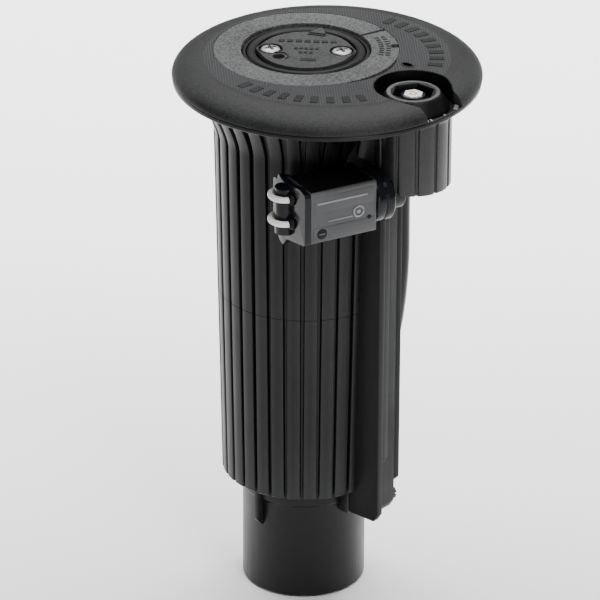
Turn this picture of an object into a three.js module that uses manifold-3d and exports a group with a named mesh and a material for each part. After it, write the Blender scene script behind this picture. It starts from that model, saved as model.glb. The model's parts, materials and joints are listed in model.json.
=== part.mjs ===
// Pop-up gear-drive sprinkler rotor with its control valve in the base.
// Millimetres, +Z up. The origin is the middle of the flange, at the height of the inlet's rim.
// +X points from the riser to the selector valve.
import * as THREE from 'three';
import { mergeVertices } from 'three/addons/utils/BufferGeometryUtils.js';
import Module from 'manifold-3d';

const wasm = await Module();
wasm.setup();

// ---- driving dimensions ----
const faceZ = 339;               // top face above the inlet's rim
const flangeRadius = 89;
const flangeToBody = 16;         // middle of the flange to the riser's axis
const riserRadius = 33.8;
const springSpace = 8.2;         // between riser and case bore
const caseWall = 3.5;            // at the foot of the ribs
const ribHeight = 3;
const ribCount = 32;
const ribWidth = 7.6;
const draft = 0.0212;            // growth in radius per mm of height
const inletRadius = 36.4;
const inletLength = 71.5;
const inletBore = 30;
const threadMinor = 28.2;
const threadPitch = 5.08;
const threadTurns = 3;
const popUp = 79;                // travel of the riser
const lobeRadius = 22.2;
const lobeGap = 4.8;             // between ribs and lobe
const solenoidLength = 42;
const solenoidHeight = 31.4;
const solenoidDepth = 29;
const solenoidGap = 7.5;         // between ribs and solenoid
const coilGap = 3.3;             // adapter showing between solenoid and case
const gearModule = 2 / 3;
const pinionTeeth = 12;
const wheelTeeth = 24;
const nozzleAngle = 115;         // degrees round the riser from +X
const screwAngle = 37;           // the cap's screws
const arcScrewAngle = 253;
const clearance = 0.3;

// ---- derived places ----
const boreRadius = riserRadius + springSpace;
const rootFoot = boreRadius + caseWall;
const ribFoot = rootFoot + ribHeight;
const flareZ = faceZ - 48;
const ribTop = ribFoot + draft * (flareZ - inletLength);
const plateBottomZ = faceZ - 14.4;
const plateTopZ = faceZ - 11.2;
const ringBottomZ = faceZ - 6;
const pocketZ = faceZ - 13;
const shoulderZ = faceZ - 39;
const counterbore = boreRadius + 5;
const collarRadius = boreRadius + 15;
const ringInner = riserRadius + 3.6;
const ringOuter = counterbore + 6.3;
const selectorOffset = ribTop + lobeGap + lobeRadius;
const lobeBottomZ = faceZ - 59;
const lobeBore = 16.9;
const pocketRadius = 22.8;
const solenoidZ = faceZ - 61.5;
const solenoidOffset = ribTop + solenoidGap + solenoidDepth / 2;
const solenoidFoot = Math.sqrt(selectorOffset ** 2 - solenoidOffset ** 2);
const solenoidAngle = Math.acos(solenoidOffset / selectorOffset);
const floorZ = inletLength + 5.7;
const seatZ = 48;
const inletTopZ = 44;

// ---- solids ----
function toSolid(geometry) {
  const bare = geometry.clone();
  bare.deleteAttribute('normal');
  bare.deleteAttribute('uv');
  const merged = mergeVertices(bare, 1e-3);
  const corners = merged.index.array;
  const kept = [];
  for (let i = 0; i < corners.length; i += 3) {
    const [a, b, c] = [corners[i], corners[i + 1], corners[i + 2]];
    if (a !== b && b !== c && a !== c) kept.push(a, b, c);
  }
  const points = merged.attributes.position;
  let volume = 0;
  const [p, q, r] = [new THREE.Vector3(), new THREE.Vector3(), new THREE.Vector3()];
  for (let i = 0; i < kept.length; i += 3) {
    p.fromBufferAttribute(points, kept[i]);
    q.fromBufferAttribute(points, kept[i + 1]);
    r.fromBufferAttribute(points, kept[i + 2]);
    volume += p.dot(q.cross(r));
  }
  if (volume < 0) kept.reverse();
  return new wasm.Manifold(new wasm.Mesh({
    numProp: 3,
    vertProperties: new Float32Array(points.array),
    triVerts: new Uint32Array(kept),
  }));
}

function toGeometry(solid) {
  const mesh = solid.getMesh();
  const geometry = new THREE.BufferGeometry();
  geometry.setAttribute('position', new THREE.BufferAttribute(new Float32Array(mesh.vertProperties), 3));
  geometry.setIndex(new THREE.BufferAttribute(new Uint32Array(mesh.triVerts), 1));
  geometry.computeVertexNormals();
  return geometry;
}

// A solid of revolution about Z from a closed outline of [radius, z] corners.
function turned(outline, segments = 24) {
  const points = outline.map(([radius, z]) => new THREE.Vector2(radius, z));
  const onAxis = outline[0][0] === 0 && outline[outline.length - 1][0] === 0;
  if (!onAxis) points.push(points[0].clone());
  return toSolid(new THREE.LatheGeometry(points, segments).rotateX(Math.PI / 2));
}

function ring(inner, outer, bottom, top, segments = 24) {
  return turned([[inner, bottom], [outer, bottom], [outer, top], [inner, top]], segments);
}

function rod(radius, bottom, top, segments = 10) {
  return turned([[0, bottom], [radius, bottom], [radius, top], [0, top]], segments);
}

function block(x0, x1, y0, y1, z0, z1) {
  const geometry = new THREE.BoxGeometry(x1 - x0, y1 - y0, z1 - z0);
  return toSolid(geometry.translate((x0 + x1) / 2, (y0 + y1) / 2, (z0 + z1) / 2));
}

// A flat outline in XY, made thick from bottom to top.
function prism(outline, bottom, top) {
  const shape = Array.isArray(outline)
    ? new THREE.Shape(outline.map(([x, y]) => new THREE.Vector2(x, y))) : outline;
  const geometry = new THREE.ExtrudeGeometry(shape, {
    depth: top - bottom, bevelEnabled: false, curveSegments: 4,
  });
  return toSolid(geometry.translate(0, 0, bottom));
}

// A rectangle with rounded corners.
function roundedSection(halfY, halfZ, corner) {
  const shape = new THREE.Shape();
  shape.absarc(halfY - corner, halfZ - corner, corner, 0, Math.PI / 2);
  shape.absarc(-halfY + corner, halfZ - corner, corner, Math.PI / 2, Math.PI);
  shape.absarc(-halfY + corner, -halfZ + corner, corner, Math.PI, 1.5 * Math.PI);
  shape.absarc(halfY - corner, -halfZ + corner, corner, 1.5 * Math.PI, 2 * Math.PI);
  return shape;
}

// Turns a solid so that its X, Y, Z run along Y, Z, X.
function alongX(solid) {
  return solid.transform([0, 1, 0, 0, 0, 0, 1, 0, 1, 0, 0, 0, 0, 0, 0, 1]);
}

// Stands an outline of [x, z] corners upright in the XZ plane, thick along Y.
function upright(outline, y0, y1) {
  const flat = prism(outline, -y1, -y0);
  return flat.rotate([90, 0, 0]);
}

function about(solid, degrees) {
  return solid.rotate([0, 0, degrees]);
}

function around(solid, count, start = 0) {
  return Array.from({ length: count }, (_, i) => about(solid, start + (i * 360) / count));
}

function joined(solids) {
  return wasm.Manifold.union(solids);
}

function swept(points, radius, sides, steps) {
  const section = new THREE.Shape();
  for (let i = 0; i < sides; i += 1) {
    const angle = (2 * Math.PI * i) / sides;
    const corner = [radius * Math.cos(angle), radius * Math.sin(angle)];
    if (i === 0) section.moveTo(...corner);
    else section.lineTo(...corner);
  }
  const path = points instanceof THREE.Curve
    ? points : new THREE.CatmullRomCurve3(points.map((point) => new THREE.Vector3(...point)));
  return toSolid(new THREE.ExtrudeGeometry(section, { steps, extrudePath: path }));
}

class Helix extends THREE.Curve {
  constructor(radius, bottom, top, turns) {
    super();
    Object.assign(this, { radius, bottom, top, turns });
  }

  getPoint(t, target = new THREE.Vector3()) {
    const angle = 2 * Math.PI * this.turns * t;
    const z = this.bottom + (this.top - this.bottom) * t;
    return target.set(this.radius * Math.cos(angle), this.radius * Math.sin(angle), z);
  }
}

function coilSpring(radius, wire, bottom, top, turns, stepsPerTurn = 9) {
  const helix = new Helix(radius, bottom + wire, top - wire, turns);
  return swept(helix, wire, 4, Math.round(turns * stepsPerTurn));
}

// Spur gear with involute flanks; the first tooth is centred on +X.
const pressureAngle = THREE.MathUtils.degToRad(25);
const toothAddendum = 0.8 * gearModule;
const toothDedendum = gearModule;
const backlash = 0.16;
const axisSpacing = (gearModule * (pinionTeeth + wheelTeeth)) / 2;

function involute(angle) {
  return Math.tan(angle) - angle;
}

function gearOutline(teeth) {
  const pitchRadius = (gearModule * teeth) / 2;
  const baseRadius = pitchRadius * Math.cos(pressureAngle);
  const tipRadius = pitchRadius + toothAddendum;
  const rootRadius = pitchRadius - toothDedendum;
  const flankFoot = Math.max(baseRadius, rootRadius);
  const halfTooth = (Math.PI * gearModule / 2 - backlash / 2) / 2 / pitchRadius;
  const flank = [];
  for (let i = 0; i <= 1; i += 1) {
    const radius = flankFoot + (tipRadius - flankFoot) * i;
    const angle = Math.acos(Math.min(1, baseRadius / radius));
    flank.push([radius, halfTooth + involute(pressureAngle) - involute(angle)]);
  }
  flank[0][0] = rootRadius;
  const outline = [];
  for (let tooth = 0; tooth < teeth; tooth += 1) {
    const middle = (2 * Math.PI * tooth) / teeth;
    const before = flank.map(([r, a]) => [r, middle - a]);
    const after = flank.map(([r, a]) => [r, middle + a]).reverse();
    const sides = [...before, ...after];
    sides.forEach(([r, a]) => outline.push([r * Math.cos(a), r * Math.sin(a)]));
  }
  return outline;
}

function gear(teeth, bottom, top, phase = 0) {
  return about(prism(gearOutline(teeth), bottom, top), phase);
}

const pinionTip = (gearModule * pinionTeeth) / 2 + toothAddendum;
const wheelTip = (gearModule * wheelTeeth) / 2 + toothAddendum;

// ---- scene graph and finishes ----
const sprinkler = new THREE.Group();
const onBody = new THREE.Group();
onBody.position.x = -flangeToBody;
const onSelector = new THREE.Group();
onSelector.position.x = selectorOffset;
const onSolenoid = new THREE.Group();
onSolenoid.position.set(
  solenoidOffset * Math.cos(solenoidAngle), -solenoidOffset * Math.sin(solenoidAngle), solenoidZ,
);
onSolenoid.rotation.z = Math.PI / 2 - solenoidAngle;
const onCoil = new THREE.Group();
onCoil.position.x = -coilGap;
onSolenoid.add(onCoil);
onBody.add(onSelector, onSolenoid);
sprinkler.add(onBody);

const finishes = {
  case: { color: 0x17181a, roughness: 0.42, metalness: 0 },
  cover: { color: 0x232426, roughness: 0.72, metalness: 0 },
  ring: { color: 0x55575a, roughness: 0.85, metalness: 0 },
  rubber: { color: 0x101112, roughness: 0.62, metalness: 0 },
  plastic: { color: 0x2b2d30, roughness: 0.5, metalness: 0 },
  gloss: { color: 0x0b0c0e, roughness: 0.16, metalness: 0 },
  acetal: { color: 0xe9e7e0, roughness: 0.45, metalness: 0 },
  nozzle: { color: 0x9a2f28, roughness: 0.4, metalness: 0 },
  lead: { color: 0xeceae4, roughness: 0.5, metalness: 0 },
  copper: { color: 0xb4673a, roughness: 0.4, metalness: 1 },
  steel: { color: 0xb9bcc0, roughness: 0.3, metalness: 1 },
  brass: { color: 0xc29a4a, roughness: 0.3, metalness: 1 },
};

function add(group, name, solid, finish) {
  const mesh = new THREE.Mesh(toGeometry(solid), new THREE.MeshStandardMaterial(finishes[finish]));
  mesh.name = name;
  group.add(mesh);
}

// ---- case ----
const ductOuter = ribTop + 8.6;
const ductHalf = 10;
const ductFootZ = inletLength - 12;
const ductTopZ = faceZ - 71;
const tubeRadius = 6.2;
const tubeOut = ribTop + 4.3;
const tubeDirection = THREE.MathUtils.degToRad(22);

const tubeRoute = [
  [tubeOut, lobeBottomZ - 1], [tubeOut, lobeBottomZ - 35], [tubeOut, lobeBottomZ - 65],
  [tubeOut - 1.8, lobeBottomZ - 92], [tubeOut - 5, lobeBottomZ - 113], [tubeOut - 10.5, lobeBottomZ - 128],
].map(([radius, z]) => [radius * Math.cos(tubeDirection), radius * Math.sin(tubeDirection), z]);

function caseBore() {
  const outline = [[0, -1], [inletBore + 1, -1], [threadMinor, 2]];
  for (let turn = 0; turn < threadTurns; turn += 1) {
    const z = 3 + turn * threadPitch;
    outline.push([threadMinor, z], [inletBore, z + 1.2], [inletBore, z + 2.6], [threadMinor, z + 3.8]);
  }
  outline.push(
    [threadMinor, seatZ - 17], [inletBore - 2.5, seatZ - 16], [inletBore - 2.5, seatZ], [inletBore, seatZ],
    [inletBore, floorZ], [boreRadius, floorZ], [boreRadius, floorZ + 7], [boreRadius + 1.4, floorZ + 7],
    [boreRadius + 1.4, floorZ + 9], [boreRadius, floorZ + 9], [boreRadius, shoulderZ],
    [counterbore, shoulderZ], [counterbore, faceZ], [0, faceZ],
  );
  return turned(outline);
}

// The whole moulding: inlet tube, ribbed sleeve, flange plate, lobe and control duct.
function caseMoulding() {
  const flareRoot = ribTop + 11;
  const core = turned([
    [0, 0], [inletRadius, 0], [inletRadius, inletLength - 11], [inletRadius + 1.8, inletLength - 9],
    [inletRadius + 1.8, inletLength], [rootFoot, inletLength], [ribTop - ribHeight, flareZ + 3],
    [flareRoot, plateBottomZ + 1], [0, plateBottomZ + 1],
  ], 32);
  const collar = rod(collarRadius, plateBottomZ - 20, ringBottomZ - 0.1, 32);
  const plate = rod(flangeRadius - 0.3, plateBottomZ, plateTopZ, 48).translate([flangeToBody, 0, 0]);
  const rib = upright([
    [rootFoot - 1.2, inletLength], [ribFoot, inletLength], [ribTop, flareZ],
    [ribTop + 17, plateBottomZ + 0.5], [rootFoot, plateBottomZ + 0.5],
  ], -ribWidth / 2, ribWidth / 2);
  const lobe = rod(lobeRadius, lobeBottomZ, plateBottomZ + 1, 24).translate([selectorOffset, 0, 0]);
  const groove = block(lobeRadius - 1.2, lobeRadius + 2, -0.9, 0.9, lobeBottomZ - 1, plateBottomZ);
  const grooves = joined(around(groove, 12, -43)).translate([selectorOffset, 0, 0]);
  const duct = upright([
    [rootFoot - 1, ductFootZ], [ductOuter - 3, ductFootZ], [ductOuter, ductFootZ + 5],
    [ductOuter, lobeBottomZ + 6], [selectorOffset, lobeBottomZ + 6], [selectorOffset, plateBottomZ],
    [rootFoot - 1, plateBottomZ],
  ], -ductHalf, ductHalf);
  const ductEdge = upright([
    [rootFoot, ductFootZ - 2], [ductOuter + 1, ductFootZ - 2], [ductOuter + 4, ductFootZ + 3],
    [ductOuter + 4, ductTopZ], [rootFoot, ductTopZ],
  ], -ductHalf, -ductHalf / 2);
  const ductStep = upright([
    [rootFoot, faceZ - 242], [ductOuter + 2.6, faceZ - 242], [ductOuter + 2.6, ductTopZ],
    [rootFoot, ductTopZ],
  ], -ductHalf / 2, 0.6);
  const ductRib = upright([
    [rootFoot, inletLength + 4.5], [ductOuter - 2, inletLength + 4.5], [ductOuter, inletLength + 7],
    [ductOuter, lobeBottomZ + 6], [rootFoot, lobeBottomZ + 6],
  ], ductHalf - 0.5, ductHalf + 4.5);
  const fins = [-92, -15].map((degrees) => about(upright([
    [inletRadius - 2, inletLength - 25], [inletRadius + 2, inletLength - 25],
    [rootFoot - 3, inletLength - 14], [rootFoot - 3, inletLength + 1], [inletRadius - 2, inletLength + 1],
  ], -1.4, 1.4), degrees));
  const bossTurn = 90 - THREE.MathUtils.radToDeg(solenoidAngle);
  const solenoidPlace = onSolenoid.position.toArray();
  const toSolenoid = (solid) => alongX(solid).rotate([0, 0, bossTurn]).translate(solenoidPlace);
  const boss = toSolenoid(rod(10.6, 9.3, 18.5, 16));
  const bossHole = toSolenoid(rod(8.4, 8, 16.5, 24));
  const rise = about(rod(1.8, 0, lobeBottomZ + 17 - solenoidZ, 10).translate([15, 0, 0]), bossTurn)
    .translate(solenoidPlace);
  const adapterRoom = toSolenoid(rod(16.5, -coilGap, 9.3, 16));
  const coilSection = roundedSection(solenoidDepth / 2 + 0.5, solenoidHeight / 2 + 0.5, 1);
  const coilRoom = toSolenoid(prism(coilSection, -solenoidLength - coilGap, -coilGap + 0.3));
  const outside = joined([
    core, collar, plate, ...around(rib, ribCount), lobe.subtract(grooves),
    duct, ductEdge, ductStep, ductRib, ...fins, boss,
  ]);
  const selectorBore = joined([
    rod(lobeBore, faceZ - 42.5, faceZ, 20), rod(3.2, lobeBottomZ + 4, faceZ, 12),
    rod(pocketRadius, pocketZ, faceZ, 24),
  ]).translate([selectorOffset, 0, 0]);
  const passage = rod(3, ductFootZ + 14, lobeBottomZ + 8, 10).translate([ductOuter - 6, 0, 0]);
  const passageTop = block(ductOuter - 9, selectorOffset + 1, -3, 3, lobeBottomZ + 6, lobeBottomZ + 11);
  const tubeRoom = swept(tubeRoute, tubeRadius + 0.4, 10, 14);
  return outside.subtract(joined([
    caseBore(), bossHole, rise, adapterRoom, coilRoom, selectorBore,
    passage, passageTop, tubeRoom, plugHole(),
  ]));
}

function flangeCover() {
  const flat = flangeRadius - 17;
  const crown = [];
  for (let i = 1; i <= 3; i += 1) {
    const angle = (i / 3) * (Math.PI / 2);
    crown.push([flat + 17 * Math.sin(angle) ** 1.15, faceZ - 10.6 * (1 - Math.cos(angle)) ** 0.85]);
  }
  const bottom = plateTopZ + 0.05;
  const outline = [[0, bottom], [flangeRadius, bottom], ...crown.reverse(), [flat, faceZ], [0, faceZ]];
  const skin = turned(outline, 48)
    .subtract(ring(flat - 9, flangeRadius - 6, bottom - 1, bottom + 2.2, 32))
    .translate([flangeToBody, 0, 0]);
  const holes = joined([
    rod(ringOuter + 0.2, bottom - 1, faceZ + 1, 48), rod(collarRadius + 0.3, bottom - 1, ringBottomZ, 32),
    rod(pocketRadius, bottom - 1, faceZ + 1, 24).translate([selectorOffset, 0, 0]),
  ]);
  const rimWindow = block(0, 60, -15, 15, bottom - 1, faceZ + 1).translate([selectorOffset, 0, 0]);
  return skin.subtract(holes).subtract(rimWindow);
}

function retainingRing() {
  const slit = block(0, ringOuter + 5, -1.2, 1.2, ringBottomZ - 1, faceZ + 1);
  const notch = block(ringOuter - 4.4, ringOuter + 5, -2.4, 2.4, ringBottomZ - 1, faceZ + 1);
  return ring(ringInner, ringOuter, ringBottomZ + 0.05, faceZ, 48)
    .subtract(joined([about(slit, 73), about(notch, 46)]));
}

function bearingGuide() {
  const [inner, outer] = [riserRadius + 1.4, counterbore - 0.25];
  return turned([
    [inner, shoulderZ + 0.2], [outer, shoulderZ + 0.2], [outer, shoulderZ + 8], [outer - 2.4, shoulderZ + 8],
    [outer - 2.4, shoulderZ + 11], [outer, shoulderZ + 11], [outer, ringBottomZ - 0.2],
    [inner + 5, ringBottomZ - 0.2], [inner + 5, ringBottomZ - 7], [inner, ringBottomZ - 7],
  ], 24);
}

function wiperSeal() {
  const [inner, outer] = [riserRadius + 0.95, riserRadius + 6.1];
  return turned([
    [inner + 0.7, ringBottomZ - 6.7], [outer, ringBottomZ - 6.7], [outer, ringBottomZ - 0.5],
    [ringInner - 0.5, ringBottomZ - 0.5], [ringInner - 0.5, faceZ - 2], [inner, faceZ - 1.5],
    [inner + 0.3, ringBottomZ - 2],
  ]);
}

function oRing(radius, wire, z, segments = 24) {
  const outline = [];
  for (let i = 0; i < 4; i += 1) {
    const angle = (2 * Math.PI * i) / 4;
    outline.push([radius + wire * Math.cos(angle), z + wire * Math.sin(angle)]);
  }
  return turned(outline, segments);
}

function lowerSnapRing() {
  const gap = block(0, boreRadius + 5, -5, 5, floorZ + 6, floorZ + 10);
  return ring(boreRadius - 3.5, boreRadius + 1.1, floorZ + 7.3, floorZ + 8.7).subtract(about(gap, 200));
}

function dischargeTube() {
  return swept(tubeRoute, tubeRadius, 10, 14);
}

const plugHeight = ductFootZ + 7;

function plugHole() {
  return upright([[ductOuter - 8, plugHeight - 3], [ductOuter - 2, plugHeight - 3],
    [ductOuter - 2, plugHeight + 3], [ductOuter - 8, plugHeight + 3]], ductHalf - 5, ductHalf + 2);
}

function ductPlug() {
  const shank = rod(2.6, ductHalf - 4.4, ductHalf + 0.5, 16);
  const head = rod(4.2, ductHalf + 0.3, ductHalf + 3.6, 16);
  const slot = block(-5, 5, -0.6, 0.6, ductHalf + 2.4, ductHalf + 5);
  return joined([shank, head]).subtract(slot).rotate([-90, 0, 0]).translate([ductOuter - 5, 0, plugHeight]);
}

const moulding = caseMoulding();
const inletPart = rod(inletRadius + 1, -1, inletTopZ, 32);
add(onBody, 'case_body', moulding.subtract(inletPart), 'case');
add(onBody, 'case_inlet', moulding.intersect(inletPart), 'case');
add(onBody, 'flange_cover', flangeCover(), 'cover');
add(onBody, 'retaining_ring', retainingRing(), 'ring');
add(onBody, 'bearing_guide', bearingGuide(), 'acetal');
add(onBody, 'wiper_seal', wiperSeal(), 'rubber');
add(onBody, 'guide_o_ring', oRing(counterbore - 1.35, 1.1, shoulderZ + 9.5), 'rubber');
add(onBody, 'lower_snap_ring', lowerSnapRing(), 'steel');
add(onBody, 'discharge_tube', dischargeTube(), 'gloss');
add(onBody, 'duct_plug', ductPlug(), 'plastic');

// ---- main valve ----
const valveLift = 12;
const cylinderRadius = inletBore - 7.3;
const cylinderTopZ = floorZ + 31;

function valveCage() {
  const cageRadius = inletBore - 0.3;
  const seat = turned([
    [cylinderRadius - 3.2, seatZ + 0.2], [cageRadius, seatZ + 0.2], [cageRadius, seatZ + 1.8],
    [cageRadius - 1.9, seatZ + 1.8], [cageRadius - 1.9, seatZ + 4.4], [cageRadius, seatZ + 4.4],
    [cageRadius, seatZ + 6], [cylinderRadius - 1.6, seatZ + 6], [cylinderRadius - 2, seatZ + 7.2],
    [cylinderRadius - 3.2, seatZ + 7.2],
  ]);
  const leg = upright([
    [cylinderRadius + 1.5, seatZ + 5], [cageRadius, seatZ + 5], [cageRadius, floorZ + 0.2],
    [cageRadius + 3.5, floorZ + 0.2], [cageRadius + 3.5, floorZ + 6.6], [cylinderRadius + 1.5, floorZ + 6.6],
  ], -1.5, 1.5);
  const spider = ring(cageRadius, boreRadius - 0.4, floorZ + 0.2, floorZ + 6.6);
  const cylinder = turned([
    [cylinderRadius, seatZ + 14], [cylinderRadius + 2.3, seatZ + 14], [cylinderRadius + 2.3, cylinderTopZ],
    [0, cylinderTopZ], [0, cylinderTopZ - 2.2], [cylinderRadius, cylinderTopZ - 2.2],
  ]);
  const port = rod(1.6, cylinderTopZ - 4, cylinderTopZ + 1, 12).translate([cylinderRadius - 5, 0, 0]);
  return joined([seat, ...around(leg, 6, 15), spider, cylinder]).subtract(port);
}

function rockScreen() {
  const outer = cylinderRadius + 0.7;
  const basket = turned([
    [0, seatZ - 14.5], [outer - 3.4, seatZ - 14.5], [outer, seatZ - 11], [outer, seatZ - 2],
    [inletBore - 2.8, seatZ - 2], [inletBore - 2.8, seatZ - 0.1], [outer - 1.7, seatZ - 0.1],
    [outer - 1.7, seatZ - 10.4], [outer - 4.1, seatZ - 12.8], [0, seatZ - 12.8],
  ]);
  const slot = block(outer - 4, outer + 2, -1.3, 1.3, seatZ - 9.5, seatZ - 3);
  const bottomSlot = block(5, outer - 5, -1.2, 1.2, seatZ - 16, seatZ - 11);
  return basket.subtract(joined([...around(slot, 8), ...around(bottomSlot, 4)]));
}

function valvePiston() {
  const r = cylinderRadius - 0.4;
  return turned([
    [0, seatZ + 11], [r - 3.3, seatZ + 11], [r - 3.3, seatZ + 14], [5, seatZ + 16], [5, seatZ + 30],
    [r, seatZ + 32], [r, seatZ + 35], [r - 1.6, seatZ + 35], [r - 1.6, seatZ + 37.4], [r, seatZ + 37.4],
    [r, seatZ + 41], [r - 3, seatZ + 41], [r - 3, seatZ + 38.5], [0, seatZ + 38.5],
  ]);
}

const pistonTopZ = seatZ + 38.5;
add(onBody, 'valve_cage', valveCage(), 'plastic');
add(onBody, 'cage_o_ring', oRing(inletBore - 1.15, 0.95, seatZ + 3.1), 'rubber');
add(onBody, 'rock_screen', rockScreen(), 'acetal');
add(onBody, 'valve_piston', valvePiston(), 'acetal');
add(onBody, 'valve_disc_seal', rod(cylinderRadius - 1.2, seatZ + 7.5, seatZ + 10.8, 32), 'rubber');
add(onBody, 'piston_seal', ring(
  cylinderRadius - 1.9, cylinderRadius - 0.15, seatZ + 35.2, seatZ + 37.2,
), 'rubber');
add(onBody, 'valve_spring', coilSpring(
  cylinderRadius - 8, 0.8, pistonTopZ + 0.3, cylinderTopZ - 2.5, 4.5,
), 'steel');

// ---- riser ----
const riserFootZ = floorZ + 39;
const sleeveTopZ = faceZ - 49.4;
const sleeveBore = riserRadius - 3.2;
const gearboxZ = riserFootZ + 34;
const gearboxBore = axisSpacing + wheelTip + 0.5;
const gearboxWall = 1.8;
const gearboxTopZ = gearboxZ + 26;
const shaftRadius = 1;
const shaftHole = shaftRadius + 0.1;

function riserSleeve() {
  return turned([
    [sleeveBore, riserFootZ], [riserRadius + 2.2, riserFootZ], [riserRadius + 2.2, riserFootZ + 1.8],
    [riserRadius, riserFootZ + 1.8], [riserRadius, sleeveTopZ], [sleeveBore, sleeveTopZ],
  ]);
}

function riserBaseRing() {
  const body = ring(riserRadius + 0.25, boreRadius - 0.4, riserFootZ + 2.1, riserFootZ + 9);
  const window = block(boreRadius - 4, boreRadius + 1, -4, 4, riserFootZ + 4, riserFootZ + 7);
  return body.subtract(joined(around(window, 4)));
}

function riserScreen() {
  const outer = sleeveBore - 0.3;
  const basket = turned([
    [0, riserFootZ + 1], [outer - 2, riserFootZ + 1], [outer, riserFootZ + 3], [outer, riserFootZ + 13],
    [outer - 1.8, riserFootZ + 13], [outer - 1.8, riserFootZ + 4], [outer - 3, riserFootZ + 2.8],
    [0, riserFootZ + 2.8],
  ]);
  const slot = block(9, outer - 4, -1.1, 1.1, riserFootZ, riserFootZ + 3.5);
  return basket.subtract(joined(around(slot, 10)));
}

function stator() {
  const outer = sleeveBore - 0.3;
  const disc = rod(outer, riserFootZ + 15, riserFootZ + 19, 24);
  const port = block(11, 17, -2, 2, riserFootZ + 14, riserFootZ + 20);
  const bypass = block(outer - 7, outer - 2, -3, 3, riserFootZ + 14, riserFootZ + 20);
  return disc.subtract(joined([
    ...around(port, 6), ...around(bypass, 6, 30), rod(shaftHole, riserFootZ + 16, riserFootZ + 20, 12),
  ]));
}

function turbineWheel() {
  const [bottom, top] = [riserFootZ + 21.5, riserFootZ + 28.5];
  const hub = rod(5, bottom, top, 24);
  const rim = ring(18.4, 20, bottom, top, 24);
  const blade = block(4, 19.2, -0.5, 0.5, -3.4, 3.4).rotate([25, 0, 0]).translate([0, 0, (bottom + top) / 2]);
  return joined([hub, rim, ...around(blade, 8)]).subtract(rod(shaftRadius + 0.04, bottom - 1, top + 1, 16));
}

function gearboxHousing() {
  const [inner, outer] = [gearboxBore, gearboxBore + gearboxWall];
  const cup = turned([
    [0, gearboxZ], [outer, gearboxZ], [outer, gearboxTopZ], [inner, gearboxTopZ],
    [inner, gearboxZ + 2], [0, gearboxZ + 2],
  ]);
  const fin = block(outer - 0.6, sleeveBore - 0.3, -1.3, 1.3, gearboxZ + 2, gearboxTopZ - 6);
  const holes = joined([
    rod(shaftHole, gearboxZ - 1, gearboxZ + 3, 16),
    rod(shaftHole, gearboxZ - 1, gearboxZ + 3, 16).translate([axisSpacing, 0, 0]),
  ]);
  return joined([cup, ...around(fin, 4, 45)]).subtract(holes);
}

const driveRadius = 3.9;

function gearboxCover() {
  const outer = gearboxBore + gearboxWall;
  return turned([
    [0, gearboxTopZ + 0.2], [outer, gearboxTopZ + 0.2], [outer, gearboxTopZ + 2.8],
    [driveRadius + 3, gearboxTopZ + 2.8], [driveRadius + 3, gearboxTopZ + 5], [0, gearboxTopZ + 5],
  ]).subtract(joined([
    rod(driveRadius + 0.2, gearboxTopZ - 1, gearboxTopZ + 6, 24),
    rod(shaftHole, gearboxTopZ - 1, gearboxTopZ + 6, 16).translate([axisSpacing, 0, 0]),
  ]));
}

// Gear train: central pinion, gear A (offset), gear B (central), gear C (offset), output gear (central).
const trainZ = gearboxZ + 2.6;
const halfTooth = 180 / wheelTeeth;

function compoundGear(wheelZ, pinionBottom, pinionTop, wheelPhase, pinionPhase) {
  const wheel = gear(wheelTeeth, wheelZ, wheelZ + 2.8, wheelPhase);
  const pinion = gear(pinionTeeth, pinionBottom, pinionTop, pinionPhase);
  const hub = rod(shaftRadius + 0.8, Math.min(wheelZ, pinionBottom), pinionTop, 16);
  return joined([wheel, pinion, hub]).subtract(rod(shaftHole, wheelZ - 9, pinionTop + 9, 16));
}

// A pinion on the central axis has a tooth on +X, so the wheel beyond it has a gap facing it.
function gearA() {
  return compoundGear(trainZ + 0.4, trainZ + 3, trainZ + 9.2, 180 - halfTooth, 180);
}

function gearB() {
  return compoundGear(trainZ + 6, trainZ + 8.6, trainZ + 14.4, halfTooth, 0);
}

function gearC() {
  return compoundGear(trainZ + 10.4, trainZ + 13, trainZ + 19.9, 180 - halfTooth, 180);
}

function outputGear() {
  const wheel = gear(wheelTeeth, trainZ + 15.4, trainZ + 18.9, halfTooth);
  const hub = rod(driveRadius, trainZ + 18.5, trainZ + 31, 24);
  return joined([wheel, hub]).subtract(rod(shaftHole + 0.05, trainZ + 15, trainZ + 18.7, 16));
}

const turretFootZ = sleeveTopZ + 0.5;

function driveShaft() {
  const collar = rod(driveRadius + 1.6, trainZ + 31.3, trainZ + 37, 24);
  return joined([rod(driveRadius, trainZ + 31.3, turretFootZ + 8, 24), collar]);
}

// ---- nozzle turret ----
const turretTopZ = faceZ - 8;
const nozzleZ = faceZ - 22;
const nozzleTilt = 22;
const spreaderAngle = nozzleAngle - 42;
const nozzleRootZ = nozzleZ - riserRadius * Math.tan(THREE.MathUtils.degToRad(nozzleTilt));
const screwRadius = 20.5;
const arcScrewRadius = 18.5;

function aimed(solid, degrees, tilt, z) {
  return alongX(solid).rotate([0, -tilt, degrees]).translate([0, 0, z]);
}

function onCap(solid, degrees, radius = screwRadius) {
  return about(solid.translate([radius, 0, 0]), degrees);
}

const screwPlaces = [screwAngle, screwAngle + 180];

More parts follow.
